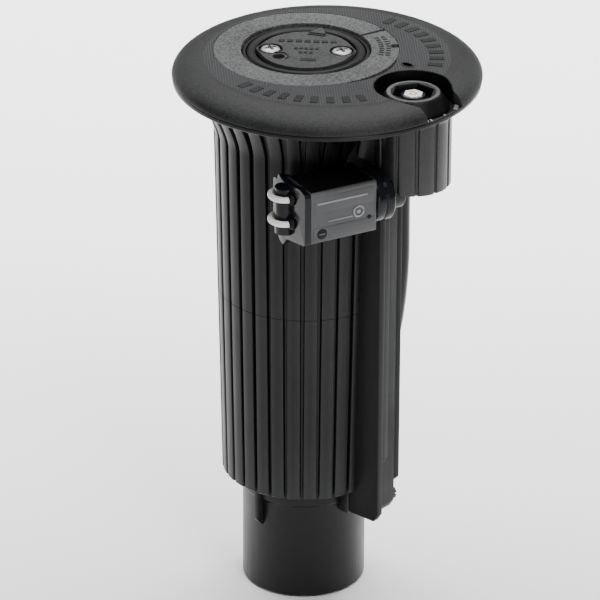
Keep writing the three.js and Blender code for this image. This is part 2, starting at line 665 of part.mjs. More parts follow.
function nozzleTurret() {
  const drum = turned([
    [0, turretFootZ], [riserRadius, turretFootZ], [riserRadius, turretTopZ], [28.7, turretTopZ],
    [28.7, faceZ - 5.4], [0, faceZ - 5.4],
  ], 32);
  const chamber = ring(driveRadius + 3.4, riserRadius - 7, turretFootZ + 5, turretFootZ + 26);
  const window = block(driveRadius + 3.2, riserRadius - 7, -5.5, 5.5, turretFootZ - 1, turretFootZ + 6);
  const nozzleBore = aimed(rod(9.3, 3, 60, 32), nozzleAngle, nozzleTilt, nozzleRootZ);
  const spreaderBore = aimed(rod(4.3, 8, 60, 20), spreaderAngle, 12, nozzleZ - 10);
  const screwHoles = screwPlaces.map((degrees) => onCap(rod(2.2, faceZ - 19, faceZ, 8), degrees));
  const arcHole = onCap(rod(3.3, faceZ - 20, faceZ, 20), arcScrewAngle, arcScrewRadius);
  const shaftSocket = rod(driveRadius + 0.05, turretFootZ - 1, turretFootZ + 8.3, 24);
  return drum.subtract(joined([
    chamber, ...around(window, 3, nozzleAngle + 60), nozzleBore, spreaderBore,
    ...screwHoles, arcHole, shaftSocket,
  ]));
}

function mainNozzle() {
  const tube = turned([
    [6.6, 14], [9, 14], [9, 60], [5.4, 60], [5.4, 26], [6.6, 15],
  ], 16);
  return aimed(tube, nozzleAngle, nozzleTilt, nozzleRootZ).intersect(rod(riserRadius - 0.4, 0, faceZ, 32));
}

function spreaderNozzle() {
  const tube = turned([[2.6, 20], [4, 20], [4, 60], [1.8, 60], [1.8, 27]], 12);
  return aimed(tube, spreaderAngle, 12, nozzleZ - 10).intersect(rod(riserRadius - 0.4, 0, faceZ, 32));
}

function rubberCap() {
  const rim = turned([
    [29, turretTopZ + 0.3], [riserRadius + 0.5, turretTopZ + 0.3], [riserRadius + 0.6, faceZ - 2],
    [riserRadius - 0.6, faceZ - 0.4], [30, faceZ - 0.4], [29, faceZ - 1.4],
  ], 48);
  const mark = prism([[28.4, -3.2], [34, 0], [28.4, 3.2]], faceZ - 1, faceZ + 1);
  return joined([rim, about(mark, nozzleAngle)]).subtract(rod(29, 0, faceZ + 2, 48));
}

function capPlate() {
  const plate = new THREE.Shape();
  const [round, ear] = [27.2, 28.8];
  const halfEar = 0.3;
  plate.absarc(0, 0, round, halfEar, Math.PI - halfEar, false);
  plate.lineTo(-ear, 0);
  plate.absarc(0, 0, round, Math.PI + halfEar, -halfEar, false);
  plate.lineTo(ear, 0);
  const slab = about(prism(plate, faceZ - 5, faceZ - 0.7), screwAngle);
  const recess = screwPlaces.map((degrees) => onCap(rod(7, faceZ - 2.4, faceZ, 20), degrees));
  const holes = screwPlaces.map((degrees) => onCap(rod(2.2, faceZ - 8, faceZ, 8), degrees));
  const arcHole = onCap(rod(3.5, faceZ - 8, faceZ, 20), arcScrewAngle, arcScrewRadius);
  return slab.subtract(joined([...recess, ...holes, arcHole]));
}

function capScrew(degrees) {
  const outline = [[0, faceZ - 17], [1.9, faceZ - 17], [1.9, faceZ - 2.1], [5.75, faceZ - 2.1],
    [5.75, faceZ - 1.2], [4.6, faceZ - 0.2], [2.6, faceZ + 0.2], [0, faceZ + 0.3]];
  const cross = joined([
    block(-2.8, 2.8, -0.5, 0.5, faceZ - 1.3, faceZ + 1), block(-0.5, 0.5, -2.8, 2.8, faceZ - 1.3, faceZ + 1),
  ]);
  return onCap(turned(outline, 10).subtract(about(cross, 20)), degrees);
}

function arcAdjustScrew() {
  const slot = block(-4, 4, -0.5, 0.5, faceZ - 7, faceZ - 4);
  return onCap(rod(3, faceZ - 18, faceZ - 5.6, 20).subtract(slot), arcScrewAngle, arcScrewRadius);
}

add(onBody, 'retract_spring', coilSpring(
  (riserRadius + boreRadius) / 2, 1.2, riserFootZ + 9.3, shoulderZ - 0.1, 9, 10,
), 'steel');
add(onBody, 'riser_sleeve', riserSleeve(), 'plastic');
add(onBody, 'riser_base_ring', riserBaseRing(), 'acetal');
add(onBody, 'riser_screen', riserScreen(), 'acetal');
add(onBody, 'stator', stator(), 'acetal');
add(onBody, 'turbine_wheel', turbineWheel(), 'acetal');
add(onBody, 'turbine_shaft', rod(shaftRadius, riserFootZ + 16.5, trainZ + 18.2, 16), 'steel');
add(onBody, 'turbine_pinion', gear(pinionTeeth, trainZ + 0.2, trainZ + 5.4)
  .subtract(rod(shaftRadius + 0.04, trainZ - 1, trainZ + 7, 16)), 'acetal');
add(onBody, 'gearbox_housing', gearboxHousing(), 'plastic');
add(onBody, 'gearbox_cover', gearboxCover(), 'plastic');
const idlerPin = rod(shaftRadius, gearboxZ + 0.2, gearboxTopZ + 2.6, 16).translate([axisSpacing, 0, 0]);
add(onBody, 'idler_pin', idlerPin, 'steel');
add(onBody, 'gear_a', gearA().translate([axisSpacing, 0, 0]), 'acetal');
add(onBody, 'gear_b', gearB(), 'acetal');
add(onBody, 'gear_c', gearC().translate([axisSpacing, 0, 0]), 'acetal');
add(onBody, 'output_gear', outputGear(), 'acetal');
add(onBody, 'drive_shaft', driveShaft(), 'plastic');
add(onBody, 'nozzle_turret', nozzleTurret(), 'plastic');
add(onBody, 'main_nozzle', mainNozzle(), 'nozzle');
add(onBody, 'spreader_nozzle', spreaderNozzle(), 'nozzle');
add(onBody, 'rubber_cap', rubberCap(), 'rubber');
add(onBody, 'cap_plate', capPlate(), 'plastic');
screwPlaces.forEach((degrees, i) => add(onBody, `cap_screw_${i + 1}`, capScrew(degrees), 'steel'));
add(onBody, 'arc_adjust_screw', arcAdjustScrew(), 'steel');

// ---- selector valve, on its own axis ----
const stemRadius = 12;
const hexCorner = 12.5;
const adjustBore = 5.2;

function hexagon(corner, turn = 0) {
  return Array.from({ length: 6 }, (_, i) => {
    const angle = (Math.PI * i) / 3 + turn;
    return [corner * Math.cos(angle), corner * Math.sin(angle)];
  });
}

function selectorSleeve() {
  const body = ring(stemRadius + 0.35, lobeBore - 0.3, faceZ - 42.2, pocketZ - 0.3, 20);
  const port = block(stemRadius - 1, lobeBore + 1, -2.5, 2.5, faceZ - 38, faceZ - 33);
  return body.subtract(joined(around(port, 3)));
}

function selectorDial() {
  const outline = [
    [0, faceZ - 40], [stemRadius, faceZ - 40], [stemRadius, pocketZ - 8], [stemRadius - 1.5, pocketZ - 8],
    [stemRadius - 1.5, pocketZ - 5.6], [stemRadius, pocketZ - 5.6], [stemRadius, pocketZ + 0.4],
    [pocketRadius - 2.2, pocketZ + 0.4], [pocketRadius - 3, pocketZ + 3], [15.9, faceZ - 4.1],
    [15.3, faceZ - 3.5], [0, faceZ - 3.5],
  ];
  return turned(outline, 20).subtract(joined([
    prism(hexagon(hexCorner), faceZ - 10, faceZ), rod(adjustBore, faceZ - 39, faceZ, 12),
  ]));
}

function adjustScrew() {
  const head = prism(hexagon(5.77), faceZ - 9.6, faceZ - 4.4);
  return joined([rod(adjustBore - 0.4, faceZ - 32, faceZ - 9.4, 12), head])
    .subtract(rod(2, faceZ - 34, faceZ, 16));
}

add(onSelector, 'selector_sleeve', selectorSleeve(), 'acetal');
add(onSelector, 'selector_dial', selectorDial(), 'plastic');
add(onSelector, 'selector_o_ring', oRing(stemRadius - 0.65, 0.8, pocketZ - 6.8, 20), 'rubber');
add(onSelector, 'pressure_adjust_screw', adjustScrew(), 'acetal');
add(onSelector, 'pressure_adjust_core', turned([
  [0, faceZ - 31], [1.7, faceZ - 31], [1.7, faceZ - 4.1], [1.2, faceZ - 3.8], [0, faceZ - 3.8],
], 16), 'brass');

// ---- solenoid: X along its axis towards the selector, Y towards the case ----
const plungerTravel = 2;
const halfDepth = solenoidDepth / 2;
const halfHeight = solenoidHeight / 2;
const coreRadius = 6.2;
const endX = -solenoidLength - 0.3;

const leadRadius = 1.8;
const leadBend = 8.25;
const leadFaceX = endX - 3.9;
const leadCentreY = halfDepth + 2.2 - leadBend;
const leadHeights = [7.6, -7.4];

function solenoidHousing() {
  const shell = prism(roundedSection(halfDepth, halfHeight, 1.6), -solenoidLength, 0);
  const hollow = prism(roundedSection(halfDepth - 2, halfHeight - 2, 1), -solenoidLength - 1, -2.5);
  return alongX(shell.subtract(hollow).subtract(rod(coreRadius + 0.3, -5, 1, 24)));
}

function solenoidPotting() {
  const plate = alongX(prism([
    [-halfDepth, -halfHeight], [-halfDepth, halfHeight - 0.6], [-halfDepth + 6.5, halfHeight + 1.2],
    [halfDepth - 5, halfHeight - 1.6], [halfDepth - 1, halfHeight - 0.8], [halfDepth + 2.6, halfHeight + 1.6],
    [halfDepth + 4.4, halfHeight - 4], [halfDepth + 5.4, 2], [halfDepth + 5.4, -halfHeight + 1],
    [halfDepth + 1.5, -halfHeight - 7.5], [halfDepth - 3, -halfHeight - 9.6],
    [halfDepth - 7.5, -halfHeight - 4],
  ], endX - 3.6, endX));
  const wrap = rod(leadBend - 2.3, -16, 13, 16).translate([leadFaceX, leadCentreY, 0]);
  const beyondShell = block(-99, endX, -99, 99, -99, 99);
  const post = wrap.intersect(beyondShell);
  const clamp = alongX(prism(roundedSection(4.1, 13, 2), endX - 3.6, endX + 5))
    .translate([0, halfDepth + 4.4, 0]);
  const hole = alongX(rod(leadRadius + 0.4, endX - 4, endX + 1.6, 12));
  const holes = leadHeights.map((height) => hole.translate([0, leadCentreY + leadBend, height]));
  return joined([plate, post, clamp]).subtract(joined(holes));
}

function leadRoute(height) {
  const route = [];
  for (let i = 0; i <= 12; i += 1) {
    const angle = (Math.PI * i) / 12;
    route.push([leadFaceX - leadBend * Math.sin(angle), leadCentreY - leadBend * Math.cos(angle), height]);
  }
  const backY = leadCentreY + leadBend;
  route.push([leadFaceX + 2.5, backY, height], [leadFaceX + 5, backY, height]);
  return route;
}

add(onCoil, 'solenoid_housing', solenoidHousing(), 'plastic');
add(onCoil, 'solenoid_potting', solenoidPotting(), 'gloss');
const coilRadius = Math.min(halfDepth, halfHeight) - 2.6;
const coil = ring(coreRadius + 0.5, coilRadius, -solenoidLength + 3, -4, 32);
add(onCoil, 'solenoid_coil', alongX(coil), 'copper');
add(onSolenoid, 'core_tube', alongX(turned([
  [0, -solenoidLength + 4], [coreRadius - 0.1, -solenoidLength + 4], [coreRadius - 0.1, 3.4],
  [coreRadius - 1.2, 3.4],
  [coreRadius - 1.2, -solenoidLength + 5.2], [0, -solenoidLength + 5.2],
], 24)), 'steel');
add(onSolenoid, 'pole_piece', alongX(rod(coreRadius - 1.5, -solenoidLength + 5.5, -22, 24)), 'steel');
add(onSolenoid, 'plunger', alongX(turned([
  [0, -9], [2.6, -9], [2.6, -22 + plungerTravel + 0.4], [coreRadius - 1.6, -22 + plungerTravel + 0.4],
  [coreRadius - 1.6, 7.4], [0, 7.4],
], 24)), 'steel');
add(onSolenoid, 'plunger_seal', alongX(rod(3, 7.7, 9.8, 20)), 'rubber');
add(onSolenoid, 'plunger_spring', alongX(coilSpring(1.7, 0.4, -21.7, -11.6, 5, 8)), 'steel');
add(onSolenoid, 'solenoid_adapter', alongX(turned([
  [coreRadius + 0.2, 0.5 - coilGap], [16, 0.5 - coilGap], [16, 9], [8.1, 9], [8.1, 14.5], [1.2, 14.5],
  [1.2, 10.2], [5.6, 10.2], [5.6, 4], [coreRadius + 0.2, 4],
], 20)), 'gloss');
leadHeights.forEach((height, i) => {
  const label = i === 0 ? 'upper' : 'lower';
  add(onCoil, `lead_${label}`, swept(leadRoute(height), leadRadius, 8, 12), 'lead');
});

export default sprinkler;
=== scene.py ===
"""Looks of the pop-up sprinkler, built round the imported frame. Lengths in mm become metres through MM."""

import json
import math

import bmesh
import bpy
from mathutils import Matrix, Vector


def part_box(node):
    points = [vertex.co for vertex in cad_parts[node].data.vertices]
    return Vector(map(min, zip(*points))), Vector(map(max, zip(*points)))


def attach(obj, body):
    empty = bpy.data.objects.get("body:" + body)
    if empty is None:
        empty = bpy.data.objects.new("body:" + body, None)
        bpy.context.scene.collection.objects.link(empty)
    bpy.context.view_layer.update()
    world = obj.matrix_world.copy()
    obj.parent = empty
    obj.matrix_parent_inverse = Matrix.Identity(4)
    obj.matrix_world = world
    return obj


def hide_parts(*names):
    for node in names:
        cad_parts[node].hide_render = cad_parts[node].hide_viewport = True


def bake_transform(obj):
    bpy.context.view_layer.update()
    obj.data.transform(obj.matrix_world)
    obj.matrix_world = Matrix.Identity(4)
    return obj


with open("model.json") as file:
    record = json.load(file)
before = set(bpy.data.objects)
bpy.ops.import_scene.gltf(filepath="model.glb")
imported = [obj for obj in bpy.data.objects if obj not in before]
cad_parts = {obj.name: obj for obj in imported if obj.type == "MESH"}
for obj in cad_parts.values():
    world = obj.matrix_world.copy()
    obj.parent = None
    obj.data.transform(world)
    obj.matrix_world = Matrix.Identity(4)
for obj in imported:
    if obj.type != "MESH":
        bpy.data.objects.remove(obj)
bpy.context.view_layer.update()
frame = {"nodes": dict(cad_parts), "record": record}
MM = 0.001


def middle(node):
    low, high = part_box(node)
    return (low + high) / 2 / MM


# ---- places, in mm, from the frame ----
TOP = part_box("retaining_ring")[1].z / MM
FLANGE_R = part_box("flange_cover")[1].y / MM
AXIS_X = middle("riser_sleeve").x
SELECTOR_X = middle("selector_sleeve").x
RIB_FOOT_Z = 71.5
FLARE_Z = TOP - 48
PLATE_BOTTOM = TOP - 14.4
PLATE_TOP = TOP - 11.2
INLET_R = 36.4
ROOT_FOOT = 45.5
RIB_HEIGHT = 3.0
DRAFT = 0.0212
RIB_COUNT = 32
RIB_TIP_R = ROOT_FOOT + RIB_HEIGHT + DRAFT * (FLARE_Z - RIB_FOOT_Z)
CROWN_WIDTH = 17
POCKET_R = 22.8
LOBE_BORE_R = 16.9
LOBE_FOOT = TOP - 59
RISER_R = 33.8
CAMERA_PLACE = (1.76173, -2.04504, 1.5006)
CAMERA_RIGHT = (0.75264, 0.65842, 0.00428)
CAMERA_UP = (-0.29157, 0.32745, 0.89875)
PHOTO_AZIMUTH = 41.0
LENS_MM = 308.57


# ---- mesh helpers ----
def placed(name, data):
    """A new object in the scene."""
    obj = bpy.data.objects.new(name, data)
    bpy.context.scene.collection.objects.link(obj)
    return obj


def dressed(name, obj, material, body, slot, node=(), smooth=35.0):
    """Names and shades an object, and says which body and nodes it belongs to. The slot is not used."""
    obj.name = name
    mesh = obj.data
    mesh.polygons.foreach_set("use_smooth", [True] * len(mesh.polygons))
    mesh.set_sharp_from_angle(angle=math.radians(smooth))
    mesh.materials.clear()
    mesh.materials.append(material)
    if body:
        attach(obj, body)
    if node:
        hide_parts(node)
    return obj


def finished(name, bm, *looks, **more):
    """A dressed object made straight from a bmesh."""
    return dressed(name, plain(bm), *looks, **more)


def shaped(name, obj, rounding, *looks, **more):
    """A dressed object whose edges are rounded first, by width, segments and least angle."""
    return dressed(name, soften(obj, *rounding), *looks, **more)


def fillet(outline, radius, steps=3, closed=True):
    """Rounds the corners of an outline of [u, v] points."""
    points = [Vector(p) for p in outline]
    count = len(points)
    result = []
    for i, corner in enumerate(points):
        if not closed and i in (0, count - 1):
            result.append(tuple(corner))
            continue
        before = points[i - 1] - corner
        after = points[(i + 1) % count] - corner
        reach = min(radius, before.length * 0.45, after.length * 0.45)
        if before.length < 1e-6 or after.length < 1e-6 or before.angle(after) > math.radians(168):
            result.append(tuple(corner))
            continue
        start = corner + before.normalized() * reach
        end = corner + after.normalized() * reach
        for k in range(steps + 1):
            t = k / steps
            result.append(tuple(start.lerp(corner, t).lerp(corner.lerp(end, t), t)))
    return result


def lathe_bm(outline, segments=128, centre=(AXIS_X, 0.0)):
    """A closed solid of revolution about a vertical axis, from a closed [radius, z] outline in mm."""
    bm = bmesh.new()
    rows = []
    for radius, z in outline:
        if abs(radius) < 1e-6:
            rows.append([bm.verts.new((centre[0] * MM, centre[1] * MM, z * MM))])
            continue
        row = []
        for i in range(segments):
            angle = 2 * math.pi * i / segments
            x = (centre[0] + radius * math.cos(angle)) * MM
            y = (centre[1] + radius * math.sin(angle)) * MM
            row.append(bm.verts.new((x, y, z * MM)))
        rows.append(row)
    for a, b in zip(rows, rows[1:] + rows[:1]):
        for i in range(segments):
            j = (i + 1) % segments
            corners = [a[i % len(a)], a[j % len(a)], b[j % len(b)], b[i % len(b)]]
            unique = list(dict.fromkeys(corners))
            if len(unique) > 2:
                bm.faces.new(unique)
    return bm


def prism_bm(outline, bottom, top, matrix=None):
    """An XY outline in mm made thick along Z, then placed by a matrix in mm."""
    bm = bmesh.new()
    place = matrix or Matrix()
    low = [bm.verts.new(place @ Vector((x, y, bottom)) * MM) for x, y in outline]
    high = [bm.verts.new(place @ Vector((x, y, top)) * MM) for x, y in outline]
    bm.faces.new(low[::-1])
    bm.faces.new(high)
    for i in range(len(outline)):
        j = (i + 1) % len(outline)
        bm.faces.new((low[i], low[j], high[j], high[i]))
    return bm


def circle(radius, count=96, centre=(0.0, 0.0), start=0.0, end=360.0):
    full = abs(end - start) >= 360
    steps = count if full else count - 1
    angles = [math.radians(start + (end - start) * i / steps) for i in range(count)]
    return [(centre[0] + radius * math.cos(a), centre[1] + radius * math.sin(a)) for a in angles]


def rectangle(x0, x1, y0, y1):
    return [(x0, y0), (x1, y0), (x1, y1), (x0, y1)]


def hung(outline):
    """Turns an outline of (radius, depth below the top) into one of (radius, height)."""
    return [(radius, TOP - depth) for radius, depth in outline]


def hollowed(outer, inner):
    """One outline that runs round outer, crosses over, and runs back round inner."""
    return outer + outer[:1] + inner[:1] + inner[:0:-1]


def plain(bm):
    """An object with no look yet, made from a bmesh."""
    bmesh.ops.recalc_face_normals(bm, faces=bm.faces)
    mesh = bpy.data.meshes.new("cutter")
    bm.to_mesh(mesh)
    bm.free()
    return placed("cutter", mesh)


def solid(outline, bottom, top, place=None):
    """A plain prism, to be shaped, cut or cut with."""
    return plain(prism_bm(outline, bottom, top, place))


def polar(radius, degrees, centre=(AXIS_X, 0.0)):
    """The point at that radius and angle round a centre, in mm."""
    angle = math.radians(degrees)
    return (centre[0] + radius * math.cos(angle), centre[1] + radius * math.sin(angle))


def heading(degrees):
    """The unit vector at that angle, and the one a quarter turn further on."""
    along = Vector((math.cos(math.radians(degrees)), math.sin(math.radians(degrees))))
    return along, Vector((-along.y, along.x))


def turned_about(centre, degrees):
    """Moves to a point and turns about the vertical."""
    return Matrix.Translation((*centre, 0)) @ Matrix.Rotation(math.radians(degrees), 4, "Z")


def combine(obj, others, operation="DIFFERENCE"):
    """Cuts, joins or intersects obj with plain objects, and removes them."""
    for other in others:
        modifier = obj.modifiers.new("boolean", "BOOLEAN")
        modifier.operation = operation
        modifier.solver = "EXACT"
        modifier.object = other
    settle(obj)
    for other in others:
        bpy.data.objects.remove(other)
    return obj


def settle(obj):
    """Applies the modifiers."""
    graph = bpy.context.evaluated_depsgraph_get()
    graph.update()
    mesh = bpy.data.meshes.new_from_object(obj.evaluated_get(graph))
    obj.modifiers.clear()
    obj.data = mesh


def soften(obj, width, segments, angle=32.0):
    """Rounds the sharp edges."""
    bm = bmesh.new()
    bm.from_mesh(obj.data)
    bmesh.ops.remove_doubles(bm, verts=bm.verts, dist=0.00001)
    bmesh.ops.dissolve_degenerate(bm, edges=bm.edges, dist=0.00001)
    bm.to_mesh(obj.data)
    bm.free()
    modifier = obj.modifiers.new("bevel", "BEVEL")
    modifier.width = width * MM
    modifier.segments = segments
    modifier.limit_method = "ANGLE"
    modifier.angle_limit = math.radians(angle)
    modifier.use_clamp_overlap = True
    settle(obj)
    return obj


def sweep_bm(points, radius, sides):
    """A round tube of that radius (or list of radii) along points, in mm, with flat ends."""
    bm = bmesh.new()
    path = [Vector(p) for p in points]
    radii = radius if hasattr(radius, "__len__") else [radius] * len(path)
    normal = None
    rows = []
    for i, p in enumerate(path):
        tangent = (path[min(i + 1, len(path) - 1)] - path[max(i - 1, 0)]).normalized()
        if normal is None:
            normal = tangent.orthogonal().normalized()
        normal = (normal - tangent * normal.dot(tangent)).normalized()
        side = tangent.cross(normal)
        row = []
        for k in range(sides):
            a = 2 * math.pi * k / sides
            row.append(bm.verts.new((p + (normal * math.cos(a) + side * math.sin(a)) * radii[i]) * MM))
        rows.append(row)
    for a, b in zip(rows, rows[1:]):
        for k in range(sides):
            bm.faces.new((a[k], a[(k + 1) % sides], b[(k + 1) % sides], b[k]))
    bm.faces.new(rows[0][::-1])
    bm.faces.new(rows[-1])
    return bm


def smooth_path(points, per_span):
    """A Catmull-Rom path through points."""
    ends = [Vector(p) for p in points]
    padded = [ends[0] * 2 - ends[1]] + ends + [ends[-1] * 2 - ends[-2]]
    result = []
    for i in range(1, len(padded) - 2):
        a, b, c, d = padded[i - 1:i + 3]
        for k in range(per_span):
            t = k / per_span
            result.append(0.5 * (2 * b + (c - a) * t + (2 * a - 5 * b + 4 * c - d) * t ** 2
                                 + (3 * b - a - 3 * c + d) * t ** 3))
    result.append(ends[-1])
    return result


def raised_mark(name, outline, low, high, material, body="turret", slot="plastic"):
    """A small plain mark with rounded edges."""
    shaped(name, solid(outline, low, high), (0.15, 2), material, body, slot)


def bar(centre, direction, length, width):
    """Corners of a bar whose long side runs along direction, in degrees."""
    along, across = heading(direction)
    middle_point = Vector(centre)
    corners = ((-1, -1), (1, -1), (1, 1), (-1, 1))
    return [tuple(middle_point + along * (a * length / 2) + across * (b * width / 2)) for a, b in corners]


def raised_group(name, outlines, low, high, material, body, slot):
    """Several raised marks kept as one mesh."""
    group = bmesh.new()
    for outline in outlines:
        part = prism_bm(outline, low, high)
        mesh = bpy.data.meshes.new("part")
        part.to_mesh(mesh)
        part.free()
        group.from_mesh(mesh)
        bpy.data.meshes.remove(mesh)
    shaped(name, plain(group), (0.12, 2), material, body, slot)


# ---- materials ----
class Nodes:
    """Short names for building a material's nodes."""

    def __init__(self, name):
        self.material = bpy.data.materials.new(name)
        self.material.use_nodes = True
        self.tree = self.material.node_tree
        self.shader = self.tree.nodes["Principled BSDF"]
        self.place = self.tree.nodes.new("ShaderNodeTexCoord").outputs["Object"]

    def new(self, kind, **settings):
        node = self.tree.nodes.new(kind)
        for key, value in settings.items():
            if key in node.inputs:
                node.inputs[key].default_value = value
            else:
                setattr(node, key, value)
        return node

    def link(self, a, b):
        self.tree.links.new(a, b)

    def stretched(self, scale):
        node = self.new("ShaderNodeMapping", Scale=scale)
        self.link(self.place, node.inputs["Vector"])
        return node.outputs["Vector"]

    def noise(self, scale, detail=4.0, rough=0.55, vector=None):
        node = self.new("ShaderNodeTexNoise", Scale=scale, Detail=detail, Roughness=rough)
        self.link(vector or self.place, node.inputs["Vector"])
        return node.outputs["Fac"]

    def ramp(self, value, stops):
        node = self.new("ShaderNodeValToRGB")
        ramp = node.color_ramp
        while len(ramp.elements) < len(stops):
            ramp.elements.new(0.5)
        for element, (place, colour) in zip(ramp.elements, stops):
            element.position = place
            element.color = (*colour, 1.0)
        self.link(value, node.inputs["Fac"])
        return node.outputs["Color"]

    def span(self, value, low, high, at=(0.3, 0.7)):
        node = self.new("ShaderNodeMapRange")
        settings = {"From Min": at[0], "From Max": at[1], "To Min": low, "To Max": high}
        for key, number in settings.items():
            node.inputs[key].default_value = number
        self.link(value, node.inputs["Value"])
        return node.outputs["Result"]

    def mix(self, factor, a, b):
        """A colour mix of two outputs, or of an output and a fixed colour."""
        node = self.new("ShaderNodeMix", data_type="RGBA")
        first, second = (plug for plug in node.inputs if plug.type == "RGBA")
        self.link(factor, node.inputs["Factor"])
        self.link(a, first)
        if isinstance(b, tuple):
            second.default_value = (*b, 1.0)
        else:
            self.link(b, second)
        return next(plug for plug in node.outputs if plug.type == "RGBA")

    def math(self, operation, a, b):
        node = self.new("ShaderNodeMath", operation=operation)
        for socket, value in zip(node.inputs, (a, b)):
            if isinstance(value, (int, float)):
                socket.default_value = value
            else:
                self.link(value, socket)
        return node.outputs["Value"]

    def bump(self, height, distance, under=None):
        node = self.new("ShaderNodeBump", Strength=1.0, Distance=distance * MM)
        self.link(height, node.inputs["Height"])
        if under is not None:
            self.link(under, node.inputs["Normal"])
        return node.outputs["Normal"]


def plastic(name, colour, roughness, grain=0.02, grain_size=0.5, spread=0.12, mottled=0.25, specular=0.5,
            streaks=0.0, coat=0.0, edge_highlight=None):
    """Moulded plastic: fine grain, flow mottling, and roughness that varies over the surface; if given,
    convex edges are lightened as a painted highlight.
    """
    n = Nodes(name)
    fine = n.noise(1 / (grain_size * MM), 3.0, 0.6)
    broad = n.noise(22.0, 5.0, 0.6)
    scuffs = n.noise(1.0, 6.0, 0.7, n.stretched((260.0, 260.0, 14.0)))
    dark = tuple(c * (1 - mottled) for c in colour)
    light = tuple(c * (1 + mottled) for c in colour)
    shade = n.ramp(n.math("ADD", n.math("MULTIPLY", broad, 0.5), n.math("MULTIPLY", fine, 0.5)),
                   [(0.38, dark), (0.62, light)])
    if edge_highlight:
        # Painted highlight: convex edges, found by pointiness, are mixed towards a lighter colour.
        convex = n.new("ShaderNodeNewGeometry").outputs["Pointiness"]
        shade = n.mix(n.span(convex, 0.0, 1.0, (0.52, 0.62)), shade, edge_highlight)
    n.link(shade, n.shader.inputs["Base Color"])
    rough = n.span(n.math("ADD", n.math("MULTIPLY", broad, 0.5), n.math("MULTIPLY", scuffs, 0.5)),
                   max(0.03, roughness - spread), roughness + spread)
    n.link(rough, n.shader.inputs["Roughness"])
    normal = n.bump(fine, grain)
    if streaks:
        normal = n.bump(scuffs, streaks, normal)
    n.link(normal, n.shader.inputs["Normal"])
    n.shader.inputs["Specular IOR Level"].default_value = specular
    n.shader.inputs["Coat Weight"].default_value = coat
    n.shader.inputs["Coat Roughness"].default_value = 0.12
    return n.material


def metal(name, colour, roughness):
    n = Nodes(name)
    broad = n.noise(160.0, 5.0, 0.65)
    fine = n.noise(2600.0, 3.0, 0.6)
    n.link(n.ramp(broad, [(0.3, tuple(c * 0.82 for c in colour)), (0.7, colour)]),
           n.shader.inputs["Base Color"])
    n.link(n.span(broad, roughness * 0.75, roughness * 1.5), n.shader.inputs["Roughness"])
    n.link(n.bump(fine, 0.006), n.shader.inputs["Normal"])
    n.shader.inputs["Metallic"].default_value = 1.0
    return n.material


def hatched_cover():
    """Matte crown with a granular skin, and a fine diamond hatch on its flat top."""
    n = Nodes("hatched_cover")
    split = n.new("ShaderNodeSeparateXYZ")
    n.link(n.place, split.inputs["Vector"])
    x, y, z = split.outputs
    radius = n.math("SQRT", n.math("ADD", n.math("MULTIPLY", x, x), n.math("MULTIPLY", y, y)), 0.0)
    flat = n.math("MULTIPLY", n.math("LESS_THAN", radius, (FLANGE_R - 18.2) * MM),
                  n.math("GREATER_THAN", z, (TOP - 0.6) * MM))
    pitch = 2 * math.pi / (1.5 * MM)
    one = n.math("SINE", n.math("MULTIPLY", n.math("ADD", x, y), pitch / math.sqrt(2)), 0.0)
    two = n.math("SINE", n.math("MULTIPLY", n.math("SUBTRACT", x, y), pitch / math.sqrt(2)), 0.0)
    knurl = n.math("MULTIPLY", n.math("MAXIMUM", one, two), flat)
    grain = n.noise(900.0, 3.0, 0.7)
    broad = n.noise(26.0, 5.0, 0.6)
    shade = n.math("ADD", n.math("MULTIPLY", broad, 0.4), n.math("MULTIPLY", grain, 0.6))
    crown = n.ramp(shade, [(0.4, (0.0015, 0.0016, 0.0018)), (0.62, (0.020, 0.0205, 0.0215))])
    top = n.ramp(n.math("ADD", n.math("MULTIPLY", knurl, 0.22), n.math("MULTIPLY", shade, 0.8)),
                 [(0.3, (0.006, 0.0062, 0.0066)), (0.62, (0.040, 0.041, 0.043))])
    n.link(n.mix(flat, crown, top), n.shader.inputs["Base Color"])
    n.link(n.span(broad, 0.5, 0.66), n.shader.inputs["Roughness"])
    n.link(n.bump(knurl, 0.2, n.bump(grain, 0.12)), n.shader.inputs["Normal"])
    n.shader.inputs["Specular IOR Level"].default_value = 0.28
    return n.material


def granular(name, dark, light, size, depth):
    """Coarse spark-eroded grain."""
    n = Nodes(name)
    grain = n.noise(1 / (size * MM), 4.0, 0.75)
    broad = n.noise(30.0, 4.0, 0.6)
    mixed = n.math("ADD", n.math("MULTIPLY", grain, 0.75), n.math("MULTIPLY", broad, 0.25))
    n.link(n.ramp(mixed, [(0.38, dark), (0.62, light)]), n.shader.inputs["Base Color"])
    n.link(n.span(broad, 0.62, 0.82), n.shader.inputs["Roughness"])
    n.link(n.bump(grain, depth), n.shader.inputs["Normal"])
    n.shader.inputs["Specular IOR Level"].default_value = 0.3
    return n.material


